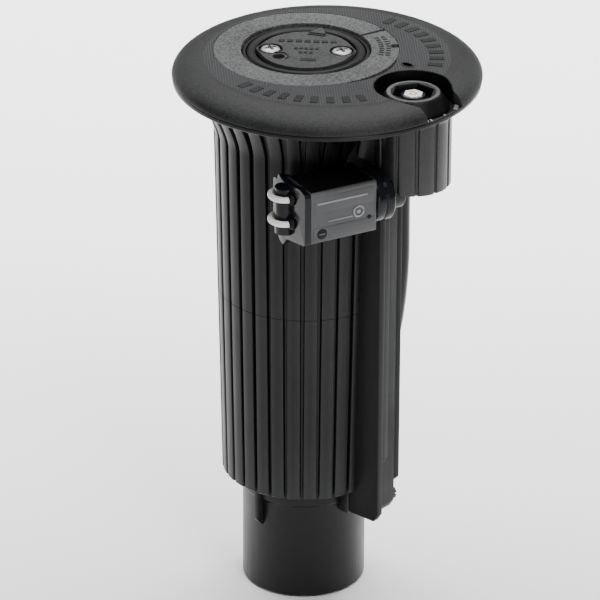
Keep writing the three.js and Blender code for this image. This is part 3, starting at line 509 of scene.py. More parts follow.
LOOKS = {
    "case": plastic("case_black", (0.0028, 0.0029, 0.0032), 0.36,
                    grain=0.05, grain_size=1.0, specular=0.24, streaks=0.02, edge_highlight=(0.04, 0.041, 0.043)),
    "cover": hatched_cover(),
    "ring": granular("ring_grain", (0.010, 0.0103, 0.0106), (0.12, 0.121, 0.124), 1.3, 0.2),
    "rubber": plastic("rubber_black", (0.003, 0.0031, 0.0033), 0.5, specular=0.2, grain=0.02,
                      grain_size=0.4),
    "plastic": plastic("dark_plastic", (0.008, 0.0082, 0.0088), 0.42, specular=0.4, grain=0.03,
                       grain_size=0.45),
    "gloss": plastic("potting_gloss", (0.0045, 0.005, 0.0075), 0.14,
                     grain=0.06, grain_size=3.0, specular=0.2, spread=0.06, coat=0.06),
    "acetal": plastic("white_acetal", (0.72, 0.71, 0.67), 0.38, grain=0.01, grain_size=0.5, mottled=0.06),
    "nozzle": plastic("red_nozzle", (0.36, 0.028, 0.02), 0.34, grain=0.012, grain_size=0.5, mottled=0.15),
    "lead": plastic("lead_white", (0.80, 0.79, 0.75), 0.42, grain=0.015, grain_size=0.6, mottled=0.05),
    "copper": metal("copper_wire", (0.72, 0.33, 0.16), 0.3),
    "steel": metal("stainless", (0.40, 0.40, 0.395), 0.42),
    "brass": metal("brass_core", (0.74, 0.54, 0.24), 0.24),
}
IN_CASE = (LOOKS["case"], "case", "case")
IN_TURRET = (LOOKS["plastic"], "turret", "plastic")
CAP_LOOK = granular("cap_grain", (0.006, 0.0062, 0.0065), (0.058, 0.0585, 0.06), 1.1, 0.14)
# The dial's own black; also used for the black pieces that are painted shade and painted shadow in recesses
# and under the flange.
DIAL_LOOK = plastic("dial_black", (0.0016, 0.0016, 0.0018), 0.5, grain=0.05, grain_size=0.5, specular=0.2)
COVER_MARK_LOOK = granular("cover_mark", (0.001, 0.001, 0.0012), (0.010, 0.0102, 0.0106), 1.0, 0.08)
# Painted shade: a darker copy of the case plastic, so the duct reads darker than the case around it.
DUCT_LOOK = plastic("duct_painted_shade", (0.0014, 0.0014, 0.0016), 0.42, grain=0.04, grain_size=0.9, specular=0.1,
                    edge_highlight=(0.03, 0.031, 0.033))
# Painted highlight: the lobe's base colour is lighter than the case's to stand in for its lit lands; the
# mottling and bumps are the plastic's own grain.
LOBE_LOOK = plastic("lobe_painted_highlight", (0.010, 0.0102, 0.0108), 0.34, grain=0.05, grain_size=1.0, mottled=0.6,
                    specular=0.36, streaks=0.04, edge_highlight=(0.05, 0.051, 0.053))
MARK_LOOK = plastic("pale_mark", (0.20, 0.20, 0.205), 0.5, grain=0.02, grain_size=0.4)
FACE_LOOK = plastic("solenoid_face", (0.045, 0.0455, 0.048), 0.46, grain=0.04, grain_size=0.5, mottled=0.2)

for node in frame["record"]["subparts"]:
    obj = frame["nodes"][node["node"]]
    obj.data.materials.clear()
    obj.data.materials.append(LOOKS[node["material_slot"]])


# ---- camera, light and floor ----
def make_camera():
    data = bpy.data.cameras.new("camera")
    camera = placed("camera", data)
    data.sensor_width = 36.0
    data.lens = LENS_MM
    data.clip_end = 30.0
    right = Vector(CAMERA_RIGHT).normalized()
    up = (Vector(CAMERA_UP) - right * right.dot(Vector(CAMERA_UP))).normalized()
    axes = Matrix((right, up, right.cross(up))).transposed()
    camera.matrix_world = Matrix.Translation(CAMERA_PLACE) @ axes.to_4x4()
    bpy.context.scene.camera = camera


def area_light(name, place, target, size, power):
    data = bpy.data.lights.new(name, "AREA")
    data.shape = "RECTANGLE"
    data.size, data.size_y = size
    data.energy = power
    light = placed(name, data)
    light.location = place
    light.rotation_euler = (Vector(target) - Vector(place)).to_track_quat("-Z", "Y").to_euler()


def around_view(across, depth, height):
    """A place given from the camera's side: across to the right, depth away, in metres."""
    turn = math.radians(PHOTO_AZIMUTH)
    return (across * math.cos(turn) - depth * math.sin(turn),
            across * math.sin(turn) + depth * math.cos(turn), height)


def make_studio():
    world = bpy.data.worlds.new("studio")
    bpy.context.scene.world = world
    world.use_nodes = True
    world.node_tree.nodes["Background"].inputs["Color"].default_value = (1.0, 1.0, 1.0, 1.0)
    world.node_tree.nodes["Background"].inputs["Strength"].default_value = 0.2
    area_light("key", around_view(0.35, -0.8, 1.5), (0, 0, 0.2), (0.4, 0.7), 12.0)
    area_light("left_strip", around_view(-0.9, 0.95, 0.45), (0, 0, 0.18), (0.1, 1.0), 2.5)
    area_light("right_strip", around_view(0.85, 1.05, 0.5), (0, 0, 0.2), (0.1, 1.0), 3.0)
    area_light("front_strip", around_view(0.6, -1.3, 0.35), (0, 0, 0.25), (0.22, 0.5), 6.0)
    area_light("floor_wash", around_view(0.0, 0.75, 1.1), around_view(0.0, 1.4, 0.4), (2.6, 0.7), 60.0)
    area_light("overhead", around_view(0.0, 0.9, 2.4), around_view(0.0, 0.5, 0.0), (3.0, 2.4), 120.0)
    bm = bmesh.new()
    bmesh.ops.create_grid(bm, x_segments=8, y_segments=8, size=6.0)
    mesh = bpy.data.meshes.new("floor")
    bm.to_mesh(mesh)
    bm.free()
    floor = placed("floor", mesh)
    floor.location.z = -0.0005
    n = Nodes("floor_paper")
    n.link(n.ramp(n.noise(3.0), [(0.3, (0.93, 0.93, 0.93)), (0.7, (0.95, 0.95, 0.95))]),
           n.shader.inputs["Base Color"])
    n.shader.inputs["Roughness"].default_value = 0.9
    mesh.materials.append(n.material)


make_camera()
make_studio()


# ---- solenoid frame: X along its axis towards the selector, Y towards the case ----
SOLENOID_Z = TOP - 61.5
SOLENOID_LENGTH, SOLENOID_HEIGHT, SOLENOID_DEPTH = 42.0, 31.4, 29.0
SOLENOID_OFFSET = RIB_TIP_R + 7.5 + SOLENOID_DEPTH / 2
COIL_GAP = 3.3
SOLENOID_TURN = math.acos(SOLENOID_OFFSET / (SELECTOR_X - AXIS_X))
SOLENOID_PLACE = (
    Matrix.Translation((AXIS_X + SOLENOID_OFFSET * math.cos(SOLENOID_TURN),
                        -SOLENOID_OFFSET * math.sin(SOLENOID_TURN), SOLENOID_Z))
    @ Matrix.Rotation(math.pi / 2 - SOLENOID_TURN, 4, "Z")
)
LENGTHWISE = Matrix(((0, 0, 1, 0), (1, 0, 0, 0), (0, 1, 0, 0), (0, 0, 0, 1)))
COIL_PLACE = SOLENOID_PLACE @ Matrix.Translation((-COIL_GAP, 0, 0))
END_X = -SOLENOID_LENGTH - 0.3
LEAD_R, LEAD_BEND = 1.8, 8.25
LEAD_X = END_X - 3.9
LEAD_Y = SOLENOID_DEPTH / 2 + 2.2 - LEAD_BEND
LEAD_HEIGHTS = {"upper": 7.6, "lower": -7.4}


def lead_route(height):
    route = []
    for i in range(25):
        angle = math.pi * i / 24
        route.append((LEAD_X - LEAD_BEND * math.sin(angle), LEAD_Y - LEAD_BEND * math.cos(angle), height))
    route += [(LEAD_X + 2.5, LEAD_Y + LEAD_BEND, height), (LEAD_X + 5, LEAD_Y + LEAD_BEND, height)]
    return [COIL_PLACE @ Vector(p) for p in route]


def make_leads():
    for label, height in LEAD_HEIGHTS.items():
        route = lead_route(height)
        bm = sweep_bm(route, LEAD_R, 20)
        lead = finished(f"lead_{label}_insulation", bm, LOOKS["lead"], "case", "lead", f"lead_{label}")


make_leads()


# ---- case ----
def rib_radii(z):
    foot = ROOT_FOOT + DRAFT * (min(z, FLARE_Z) - RIB_FOOT_Z)
    if z <= FLARE_Z:
        return foot, foot + RIB_HEIGHT
    t = (z - FLARE_Z) / (PLATE_BOTTOM - FLARE_Z)
    return foot + 15 * t ** 1.35, foot + RIB_HEIGHT + 16 * t ** 1.35


def rib_section(z, shrink):
    """One level of the ribbed shell: flat-faced ribs with rounded corners and filleted grooves."""
    root, tip = rib_radii(z)
    tip -= shrink
    half, corner = 3.8 - shrink * 0.6, 0.5
    pattern = [(root, -half - 0.4), (root + 0.12, -half - 0.12), (root + 0.5, -half),
               (tip - corner, -half + 0.08), (tip - 0.15, -half + 0.22), (tip, -half + corner + 0.1),
               (tip + 0.1, 0.0), (tip, half - corner - 0.1), (tip - 0.15, half - 0.22),
               (tip - corner, half - 0.08), (root + 0.5, half), (root + 0.12, half + 0.12),
               (root, half + 0.4)]
    points = []
    for k in range(RIB_COUNT):
        angle = 2 * math.pi * k / RIB_COUNT
        along = Vector((math.cos(angle), math.sin(angle)))
        across = Vector((-along.y, along.x))
        for out, side in pattern:
            p = along * out + across * side
            points.append((AXIS_X + p.x, p.y))
    return points


def make_ribs():
    levels = [(RIB_FOOT_Z, 1.0), (RIB_FOOT_Z + 0.25, 0.45), (RIB_FOOT_Z + 0.9, 0.0)]
    levels += [(z, 0.0) for z in (110, 150, 189.8)]
    levels += [(190.0, 0.12), (190.35, 0.12), (190.55, 0.0)]
    levels += [(z, 0.0) for z in (230, 265, FLARE_Z - 3, FLARE_Z, FLARE_Z + 3)]
    steps = 8
    levels += [(FLARE_Z + 3 + (PLATE_BOTTOM - FLARE_Z - 2.6) * (i + 1) / steps, 0.0) for i in range(steps)]
    bm = bmesh.new()
    outer = []
    for z, shrink in levels:
        outer.append([bm.verts.new((x * MM, y * MM, z * MM)) for x, y in rib_section(z, shrink)])
    count = len(outer[0])
    inner = []
    for z in (levels[0][0], levels[-1][0]):
        ring = []
        for i in range(count):
            v = outer[0][i].co
            direction = Vector((v.x - AXIS_X * MM, v.y)).normalized() * (ROOT_FOOT - 1.0) * MM
            ring.append(bm.verts.new((AXIS_X * MM + direction.x, direction.y, z * MM)))
        inner.append(ring)
    loops = [inner[0]] + outer + [inner[1]]
    for a, b in zip(loops, loops[1:] + loops[:1]):
        for i in range(count):
            j = (i + 1) % count
            bm.faces.new((a[i], a[j], b[j], b[i]))
    finished("case_ribs", bm, LOOKS["case"], "case", "case", "case_body", smooth=28)


def make_case_tube():
    """Inlet tube, thread, stepped bore and the collar that holds the bearing guide."""
    outline = [(INLET_R - 0.8, 0), (INLET_R, 0.8), (INLET_R, 60.2), (INLET_R + 1.8, 62.2),
               (INLET_R + 1.8, 70.2), (INLET_R + 2.4, RIB_FOOT_Z - 0.2),
               (ROOT_FOOT - 0.4, RIB_FOOT_Z - 0.2), (ROOT_FOOT - 0.4, 80), (ROOT_FOOT + 3.6, FLARE_Z - 8),
               (ROOT_FOOT + 3.6, TOP - 30), (56.6, TOP - 16), (56.6, TOP - 6.2), (47.0, TOP - 6.2),
               (47.0, TOP - 39), (42.0, TOP - 39), (42.0, 86.2), (43.4, 86.2), (43.4, 84.2), (42.0, 84.2),
               (42.0, 77.2), (30.0, 77.2), (30.0, 48), (27.5, 48), (27.5, 32)]
    thread = []
    for turn in range(5):
        z = 3 + turn * 5.08
        thread += [(28.2, z), (29.9, z + 1.3), (29.9, z + 2.7), (28.2, z + 3.9)]
    outline += thread[::-1] + [(28.4, 2.0), (30.8, 0.3), (31.2, 0)]
    bm = lathe_bm(fillet(outline, 0.5, 2), 144)
    finished("case_tube", bm, LOOKS["case"], "case", "case", "case_inlet")


def make_flange_plate():
    outline = [(50, PLATE_BOTTOM), (FLANGE_R - 1.1, PLATE_BOTTOM), (FLANGE_R - 0.4, PLATE_BOTTOM + 0.7),
               (FLANGE_R - 0.4, PLATE_TOP - 0.5), (FLANGE_R - 0.8, PLATE_TOP - 0.05),
               (50, PLATE_TOP - 0.05)]
    plate = plain(lathe_bm(fillet(outline, 0.3, 2), 224, (0.0, 0.0)))
    pocket = solid(circle(POCKET_R, 96, (SELECTOR_X, 0)), TOP - 13, TOP)
    bore = solid(circle(LOBE_BORE_R, 64, (SELECTOR_X, 0)), TOP - 42, TOP)
    combine(plate, [pocket, bore])
    shaped("flange_plate", plate, (0.2, 2), *IN_CASE, smooth=30)


def grooved_lobe_outline():
    """The lobe's section: wide lands between narrow grooves."""
    points = []
    land = 30.0
    for k in range(12):
        start = -43 + k * land
        for angle, radius in ((0, 21.0), (1.1, 21.0), (2.0, 21.2), (2.6, 21.8), (3.4, 22.12), (5.0, 22.2),
                              (9.0, 22.25), (15, 22.3), (21, 22.25), (25, 22.2), (26.6, 22.12),
                              (27.4, 21.8), (28.0, 21.2), (28.9, 21.0)):
            a = math.radians(start + angle)
            points.append((SELECTOR_X + radius * math.cos(a), radius * math.sin(a)))
    return points


def make_lobe():
    outline = grooved_lobe_outline()
    bm = bmesh.new()
    centre = Vector((SELECTOR_X, 0.0))
    levels = [(LOBE_FOOT, 0.965), (LOBE_FOOT + 0.3, 0.985), (LOBE_FOOT + 0.9, 1.0),
              (PLATE_BOTTOM - 3.0, 1.0), (PLATE_BOTTOM - 1.6, 1.015), (PLATE_BOTTOM - 0.7, 1.045),
              (PLATE_BOTTOM + 0.1, 1.08)]
    rows = []
    for z, scale in levels:
        row = []
        for x, y in outline:
            p = centre + (Vector((x, y)) - centre) * scale
            row.append(bm.verts.new((p.x * MM, p.y * MM, z * MM)))
        rows.append(row)
    count = len(outline)
    for a, b in zip(rows, rows[1:]):
        for i in range(count):
            j = (i + 1) % count
            bm.faces.new((a[i], a[j], b[j], b[i]))
    bm.faces.new(rows[0][::-1])
    bm.faces.new(rows[-1])
    lobe = plain(bm)
    combine(lobe, [solid(circle(LOBE_BORE_R, 64, (SELECTOR_X, 0)), TOP - 42.5, TOP)])
    dressed("selector_lobe", lobe, LOBE_LOOK, "case", "case", smooth=30)


def upright(x_z_outline, y0, y1):
    """Places an outline of (x, z) corners in the XZ plane, thick along Y."""
    stand = Matrix(((1, 0, 0, 0), (0, 0, -1, 0), (0, 1, 0, 0), (0, 0, 0, 1)))
    return prism_bm(x_z_outline, -y1, -y0, stand)


DUCT_OUT = AXIS_X + RIB_TIP_R + 8.6
DUCT_IN = AXIS_X + ROOT_FOOT - 1
DUCT_FOOT = RIB_FOOT_Z - 12
DUCT_TOP = TOP - 71


def duct_strip(name, outline, y0, y1, width):
    shaped(name, plain(upright(outline, y0, y1)), (width, 3), DUCT_LOOK, "case", "case", smooth=30)


def make_duct():
    """Control duct down the case: a panel between a deeper left edge and a shallow right rib."""
    panel = plain(upright([
        (DUCT_IN, DUCT_FOOT), (DUCT_OUT - 3, DUCT_FOOT), (DUCT_OUT, DUCT_FOOT + 5), (DUCT_OUT, TOP - 53),
        (SELECTOR_X, TOP - 53), (SELECTOR_X, PLATE_BOTTOM), (DUCT_IN, PLATE_BOTTOM)], -9.5, 10.0))
    across = Matrix.Translation((DUCT_OUT - 5, 0, DUCT_FOOT + 7)) @ Matrix.Rotation(math.pi / 2, 4, "X")
    hole = solid(circle(2.9, 24), -12, -4, across)
    combine(panel, [hole])
    shaped("control_duct", panel, (0.5, 3), DUCT_LOOK, "case", "case", smooth=30)
    duct_strip("duct_edge", [(DUCT_IN, DUCT_FOOT - 2), (DUCT_OUT + 1, DUCT_FOOT - 2),
                             (DUCT_OUT + 4, DUCT_FOOT + 3), (DUCT_OUT + 4, DUCT_TOP), (DUCT_IN, DUCT_TOP)],
               -10.0, -5.2, 0.7)
    corner = [(DUCT_OUT - 3, TOP - 238), (DUCT_OUT - 3, TOP - 242), (DUCT_OUT + 2.6, TOP - 242)]
    duct_strip("duct_step", [*corner, (DUCT_OUT + 2.6, DUCT_TOP), (DUCT_OUT - 3, DUCT_TOP)], -6, 0.6, 0.6)
    duct_strip("duct_step_foot", [(DUCT_OUT - 3, TOP - 244), (DUCT_OUT + 2.6, TOP - 244),
                                  (DUCT_OUT + 2.6, TOP - 241), (DUCT_OUT - 3, TOP - 241)], -6, -1.2, 0.6)
    duct_strip("duct_rib", [(DUCT_IN + 2, RIB_FOOT_Z + 4.5), (DUCT_OUT - 2, RIB_FOOT_Z + 4.5),
                            (DUCT_OUT, RIB_FOOT_Z + 7), (DUCT_OUT, TOP - 54), (DUCT_IN + 2, TOP - 54)],
               9.5, 14.5, 0.7)


def make_boss():
    """Pilot boss that receives the solenoid's adapter."""
    along = SOLENOID_PLACE @ LENGTHWISE
    boss = solid(circle(10.6, 72), 9.3, 18.4, along)
    combine(boss, [solid(circle(8.4, 48), 8, 16.4, along)])
    shaped("pilot_boss", boss, (0.7, 3), *IN_CASE, smooth=30)


def make_fins():
    tall = [(INLET_R - 2, 44.5), (INLET_R + 1, 44.5), (INLET_R + 5.2, 49), (INLET_R + 5.2, 71),
            (INLET_R - 2, 71)]
    wide = [(INLET_R - 2, 56), (INLET_R + 9, 57), (INLET_R + 9, 72), (INLET_R - 2, 72)]
    for number, (degrees, outline) in enumerate(((-92, tall), (-13, wide))):
        bm = upright(fillet(outline, 0.8), -1.2, 1.2)
        bmesh.ops.transform(bm, matrix=turned_about((AXIS_X * MM, 0), degrees), verts=bm.verts)
        shaped(f"base_fin_{number + 1}", plain(bm), (0.3, 2), *IN_CASE)


def make_webs():
    """Thin webs between the lobe, the flange and the case, beside the solenoid."""
    for number, (x0, y0, x1, y1, low) in enumerate(( (SELECTOR_X - 24, -19.0, SELECTOR_X - 9, -17.5, 30.5),
                                                    (SELECTOR_X - 33, -21.0, SELECTOR_X - 20, -12.0,
                                                     40.0))):
        base = Vector((x0, y0))
        reach = Vector((x1, y1)) - base
        turn = Matrix.Translation((x0, y0, 0)) @ Matrix.Rotation(math.atan2(reach.y, reach.x), 4, "Z")
        bm = upright([(0, TOP - low - 14), (reach.length, TOP - low - 14), (reach.length, PLATE_BOTTOM),
                      (6, PLATE_BOTTOM)], -0.8, 0.8)
        shift = Matrix.Scale(MM, 4) @ turn @ Matrix.Scale(1 / MM, 4)
        bmesh.ops.transform(bm, matrix=shift, verts=bm.verts)
        shaped(f"flange_web_{number + 1}", plain(bm), (0.25, 2), *IN_CASE)


make_ribs()
make_case_tube()
make_flange_plate()
make_lobe()
make_duct()
make_boss()
make_fins()
make_webs()


# ---- flange cover and ring ----
def crown_blank(inner):
    """The crown's solid of revolution out from that radius, before any opening is cut."""
    flat = FLANGE_R - CROWN_WIDTH
    outline = [(inner, PLATE_TOP + 0.05), (FLANGE_R - 0.4, PLATE_TOP + 0.05), (FLANGE_R, PLATE_TOP + 0.5)]
    steps = 18
    for i in range(steps, 0, -1):
        angle = i / steps * math.pi / 2
        outline.append((flat + CROWN_WIDTH * math.sin(angle) ** 1.15,
                        TOP - 10.4 * (1 - math.cos(angle)) ** 0.85))
    outline += [(flat, TOP), (inner, TOP)]
    return plain(lathe_bm(outline, 256, (0.0, 0.0)))


def make_cover():
    cover = crown_blank(40)
    seat = solid(circle(53.5, 160, (AXIS_X, 0)), PLATE_TOP - 1, TOP + 1)
    under = solid(circle(57.0, 128, (AXIS_X, 0)), PLATE_TOP - 1, TOP - 6)
    pocket = solid(circle(POCKET_R, 128, (SELECTOR_X, 0)), PLATE_TOP - 1, TOP + 1)
    window = solid(rectangle(SELECTOR_X, SELECTOR_X + 60, -15, 15), PLATE_TOP - 1, TOP + 1)
    combine(cover, [seat, under, pocket, window])
    shaped("flange_crown", cover, (0.3, 2, 38), LOOKS["cover"], "case", "cover", "flange_cover", smooth=32)


def make_pocket_shade():
    """Black ring on the selector pocket's wall: painted shade where its far wall lies in shadow."""
    ring = [(22.3, PLATE_TOP - 1.5), (22.75, PLATE_TOP - 1.5), (22.75, TOP + 1), (22.3, TOP + 1)]
    pocket_shade = plain(lathe_bm(ring, 128, (SELECTOR_X, 0.0)))
    combine(pocket_shade, [crown_blank(10)], "INTERSECT")
    window = solid(rectangle(SELECTOR_X, SELECTOR_X + 60, -15.4, 15.4), PLATE_TOP - 2, TOP + 1)
    combine(pocket_shade, [window])
    pocket_shade.location.z = -0.15 * MM
    dressed("pocket_wall_painted_shade", pocket_shade, DIAL_LOOK, "case", "case", smooth=30)


def make_cover_marks():
    """Plain raised bars on the crown and the ring, and an oval, in place of lettering."""
    for number, middle_angle in enumerate((-64, 63)):
        outlines = []
        for k in range(9):
            angle = middle_angle + (k - 4) * 8.2
            outlines.append(bar(polar(62.6, angle, (0.0, 0.0)), angle, 8.4, 4.4))
        raised_group(f"cover_bars_{number + 1}", outlines, TOP - 0.4, TOP + 0.35, COVER_MARK_LOOK, "case",
                     "cover")
    outer = [(42.6 + 4.6 * c, 20.5 + 2.9 * s) for c, s in circle(1.0, 36)]
    inner = [(42.6 + 3.6 * c, 20.5 + 2.0 * s) for c, s in circle(1.0, 36)]
    raised_mark("cover_oval", hollowed(outer, inner), TOP - 0.4, TOP + 0.3, COVER_MARK_LOOK, "case",
                "cover")
    dashes = []
    for row in (43.4, 47.4):
        for k in range(9):
            angle = 30 + 4.0 * k
            dashes.append(bar(polar(row, angle), angle, 2.6, 1.5))
    raised_group("ring_dashes", dashes, TOP - 0.4, TOP + 0.25, COVER_MARK_LOOK, "case", "ring")


def make_ring():
    outline = fillet([(37.4, TOP - 5.9), (53.3, TOP - 5.9), (53.3, TOP), (37.4, TOP)], 0.5, 3)
    ring = plain(lathe_bm(outline, 224))
    slit = solid(rectangle(30, 60, -1.2, 1.2), TOP - 8, TOP + 2, turned_about((AXIS_X, 0), 73))
    notch = solid(rectangle(48.9, 60, -2.4, 2.4), TOP - 8, TOP + 2, turned_about((AXIS_X, 0), 46))
    combine(ring, [slit, notch])
    shaped("snap_ring_grained", ring, (0.35, 2, 40), LOOKS["ring"], "case", "ring", "retaining_ring",
           smooth=32)


def make_wiper():
    outline = fillet(hung([(35.4, 12.7), (39.9, 12.7), (39.9, 6.5), (36.9, 6.5), (36.9, 2.2), (36.2, 1.6),
                           (34.75, 1.5), (35.0, 8)]), 0.35, 3)
    finished("wiper_lip", lathe_bm(outline, 160), LOOKS["rubber"], "case", "rubber", "wiper_seal")


make_cover()
make_pocket_shade()
make_cover_marks()
make_ring()
make_wiper()


# ---- riser and turret ----
def make_sleeve():
    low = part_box("riser_sleeve")[0].z / MM
    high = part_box("riser_sleeve")[1].z / MM
    outline = fillet([(30.6, low), (RISER_R + 2.2, low), (RISER_R + 2.2, low + 1.8), (RISER_R, low + 1.8),
                      (RISER_R, high), (30.6, high)], 0.5, 3)
    finished("riser_sleeve_smooth", lathe_bm(outline, 160), LOOKS["plastic"], "riser", "plastic",
             "riser_sleeve")


def aimed(degrees, tilt, z):
    return (Matrix.Translation((AXIS_X, 0, z)) @ Matrix.Rotation(math.radians(degrees), 4, "Z")
            @ Matrix.Rotation(math.radians(-tilt), 4, "Y") @ LENGTHWISE)


NOZZLE_ANGLE, NOZZLE_TILT = 115.0, 22.0
NOZZLE_Z = TOP - 22 - RISER_R * math.tan(math.radians(NOZZLE_TILT))


def make_turret():
    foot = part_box("nozzle_turret")[0].z / MM
    outline = fillet([(6, foot), (RISER_R, foot), (RISER_R, foot + 6), (RISER_R - 0.6, foot + 6.6),
                      (RISER_R - 0.6, foot + 7.6), (RISER_R, foot + 8.2), (RISER_R, TOP - 8),
                      (28.7, TOP - 8), (28.7, TOP - 5.4), (6, TOP - 5.4)], 0.4, 3)
    turret = plain(lathe_bm(outline, 160))
    bore = solid(circle(9.3, 72), 8, 60, aimed(NOZZLE_ANGLE, NOZZLE_TILT, NOZZLE_Z))
    small = solid(circle(4.3, 48), 12, 60, aimed(NOZZLE_ANGLE - 42, 12, TOP - 32))
    combine(turret, [bore, small])
    shaped("turret_drum", turret, (0.4, 3, 40), *IN_TURRET, "nozzle_turret")


def make_nozzle(name, node, outer, throat, degrees, tilt, z, start):
    tube = solid(circle(outer, 72), start, 60, aimed(degrees, tilt, z))
    hole = solid(circle(throat, 64), start - 1, 61, aimed(degrees, tilt, z))
    drum = solid(circle(RISER_R - 0.4, 160, (AXIS_X, 0)), 0, TOP)
    combine(tube, [hole])
    combine(tube, [drum], "INTERSECT")
    shaped(name, tube, (0.45, 3, 40), LOOKS["nozzle"], "turret", "nozzle", node)


make_sleeve()
make_turret()
make_nozzle("main_nozzle_insert", "main_nozzle", 9.0, 5.4, NOZZLE_ANGLE, NOZZLE_TILT, NOZZLE_Z, 16)
make_nozzle("spreader_insert", "spreader_nozzle", 4.0, 1.8, NOZZLE_ANGLE - 42, 12, TOP - 32, 20)


# ---- cap ----
SCREW_ANGLE = 37.0
SCREW_ANGLES = (SCREW_ANGLE, SCREW_ANGLE + 180)
SCREW_CIRCLE = 20.5
ARC_PLACE = middle("arc_adjust_screw")


def make_rubber_cap():
    outline = fillet(hung([(29, 7.7), (RISER_R + 0.5, 7.7), (RISER_R + 0.6, 2.2), (RISER_R - 1.0, 0.5),
                           (30.4, 0.7), (29, 1.6)]), 0.7, 4)
    finished("bumper_ring", lathe_bm(outline, 176), LOOKS["rubber"], "turret", "rubber", "rubber_cap")


def cap_outline():
    """Round plate with a pointed ear beyond each screw."""
    points = []
    for side in SCREW_ANGLES:
        points.append(polar(29.0, side, (0.0, 0.0)))
        points += circle(26.4, 40, (0, 0), side + 22, side + 158)
    return [(AXIS_X + x, y) for x, y in points]


def make_cap_plate():
    plate = solid(fillet(cap_outline(), 1.2, 3), TOP - 5.0, TOP - 0.6)
    cuts = []
    for degrees in SCREW_ANGLES:
        cuts.append(solid(circle(7.2, 72, polar(SCREW_CIRCLE, degrees)), TOP - 2.5, TOP + 2))
    arc = (ARC_PLACE.x, ARC_PLACE.y)
    cuts.append(solid(circle(3.5, 48, arc), TOP - 9, TOP + 2))
    combine(plate, cuts)
    shaped("cap_disc", plate, (0.3, 2, 40), CAP_LOOK, "turret", "plastic", "cap_plate")


def make_cap_marks():
    """Direction triangle, rows of plain bars, and the arc arrow round its socket."""
    out, side = heading(NOZZLE_ANGLE)
    centre = Vector((AXIS_X, 0.0))
    base = [centre + out * 23.8 + side * 5.0, centre + out * 32.6, centre + out * 23.8 - side * 5.0]
    raised_mark("direction_triangle", [tuple(p) for p in base], TOP - 1.6, TOP + 0.1, CAP_LOOK)
    raised_mark("direction_bar", bar(centre + out * 21.9, NOZZLE_ANGLE + 90, 10.4, 1.1), TOP - 0.9,
                TOP - 0.1, COVER_MARK_LOOK)
    across, up = heading(SCREW_ANGLE)
    rows = [[bar(centre + across * (-15 + 5.0 * k) + up * 11.8, SCREW_ANGLE, 3.4, 3.2) for k in range(7)],
            [bar(centre + across * (-6 + 3.0 * k) + up * 1.2, SCREW_ANGLE, 2.0, 2.4) for k in range(5)],
            [bar(centre + across * (-3 + 3.0 * k) - up * 4.4, SCREW_ANGLE, 2.0, 2.4) for k in range(3)]]
    raised_group("cap_bars", sum(rows, []), TOP - 0.9, TOP - 0.15, COVER_MARK_LOOK, "turret", "plastic")
    plate = centre + across * 2.2 - up * 14.6
    raised_mark("cap_tab", bar(plate, SCREW_ANGLE, 9.0, 3.6), TOP - 0.9, TOP - 0.25, COVER_MARK_LOOK)
    arc = Vector((ARC_PLACE.x, ARC_PLACE.y))
    start = math.degrees(math.atan2(arc.y, arc.x - AXIS_X)) + 105
    outer = circle(5.9, 20, tuple(arc), start, start + 135)
    inner = circle(4.9, 20, tuple(arc), start, start + 135)
    raised_mark("arc_arrow_line", outer + inner[::-1], TOP - 0.8, TOP - 0.1, COVER_MARK_LOOK)
    outward, forward = heading(start + 135)
    place = arc + outward * 5.4
    tip = [place + outward * 1.5, place + forward * 2.4, place - outward * 1.5]
    raised_mark("arc_arrow_head", [tuple(p) for p in tip], TOP - 0.8, TOP - 0.1, COVER_MARK_LOOK)


def make_cap_screws():
    for number, degrees in enumerate(SCREW_ANGLES):
        centre = polar(SCREW_CIRCLE, degrees)
        outline = hung([(0, 17), (1.9, 17), (1.9, 2.1), (5.5, 2.1), (5.75, 1.85), (5.7, 1.2), (5.1, 0.45),
                        (4.0, 0.05), (2.6, -0.2), (1.2, -0.28), (0, -0.3)])
        screw = plain(lathe_bm(outline, 72, centre))
        turn = turned_about(centre, degrees + 28)
        cross = solid(rectangle(-3.5, 3.5, -0.95, 0.95), TOP - 1.7, TOP + 1, turn)
        other = solid(rectangle(-0.95, 0.95, -3.5, 3.5), TOP - 1.7, TOP + 1, turn)
        combine(screw, [cross, other])
        shaped(f"pan_screw_{number + 1}", screw, (0.12, 2, 40), LOOKS["steel"], "turret", "steel",
               f"cap_screw_{number + 1}")
        # Painted shade: a black ring in each screw's recess and a black disc at the bottom of its cross
        # slot.
        recess_shade = hung([(5.9, 2.5), (7.2, 2.5), (7.2, 0.5), (6.7, 0.55), (6.6, 2.1), (5.9, 2.2)])
        finished(f"screw_painted_shade_{number + 1}", lathe_bm(recess_shade, 72, centre), DIAL_LOOK, "turret", "plastic")
        floor = solid(circle(3.2, 40, centre), TOP - 1.9, TOP - 1.55)
        dressed(f"cross_painted_shade_{number + 1}", floor, DIAL_LOOK, "turret", "plastic")


make_rubber_cap()
make_cap_plate()
make_cap_marks()
make_cap_screws()


# ---- selector ----
def hexagon(corner, centre):
    return [polar(corner, 60 * k, centre) for k in range(6)]


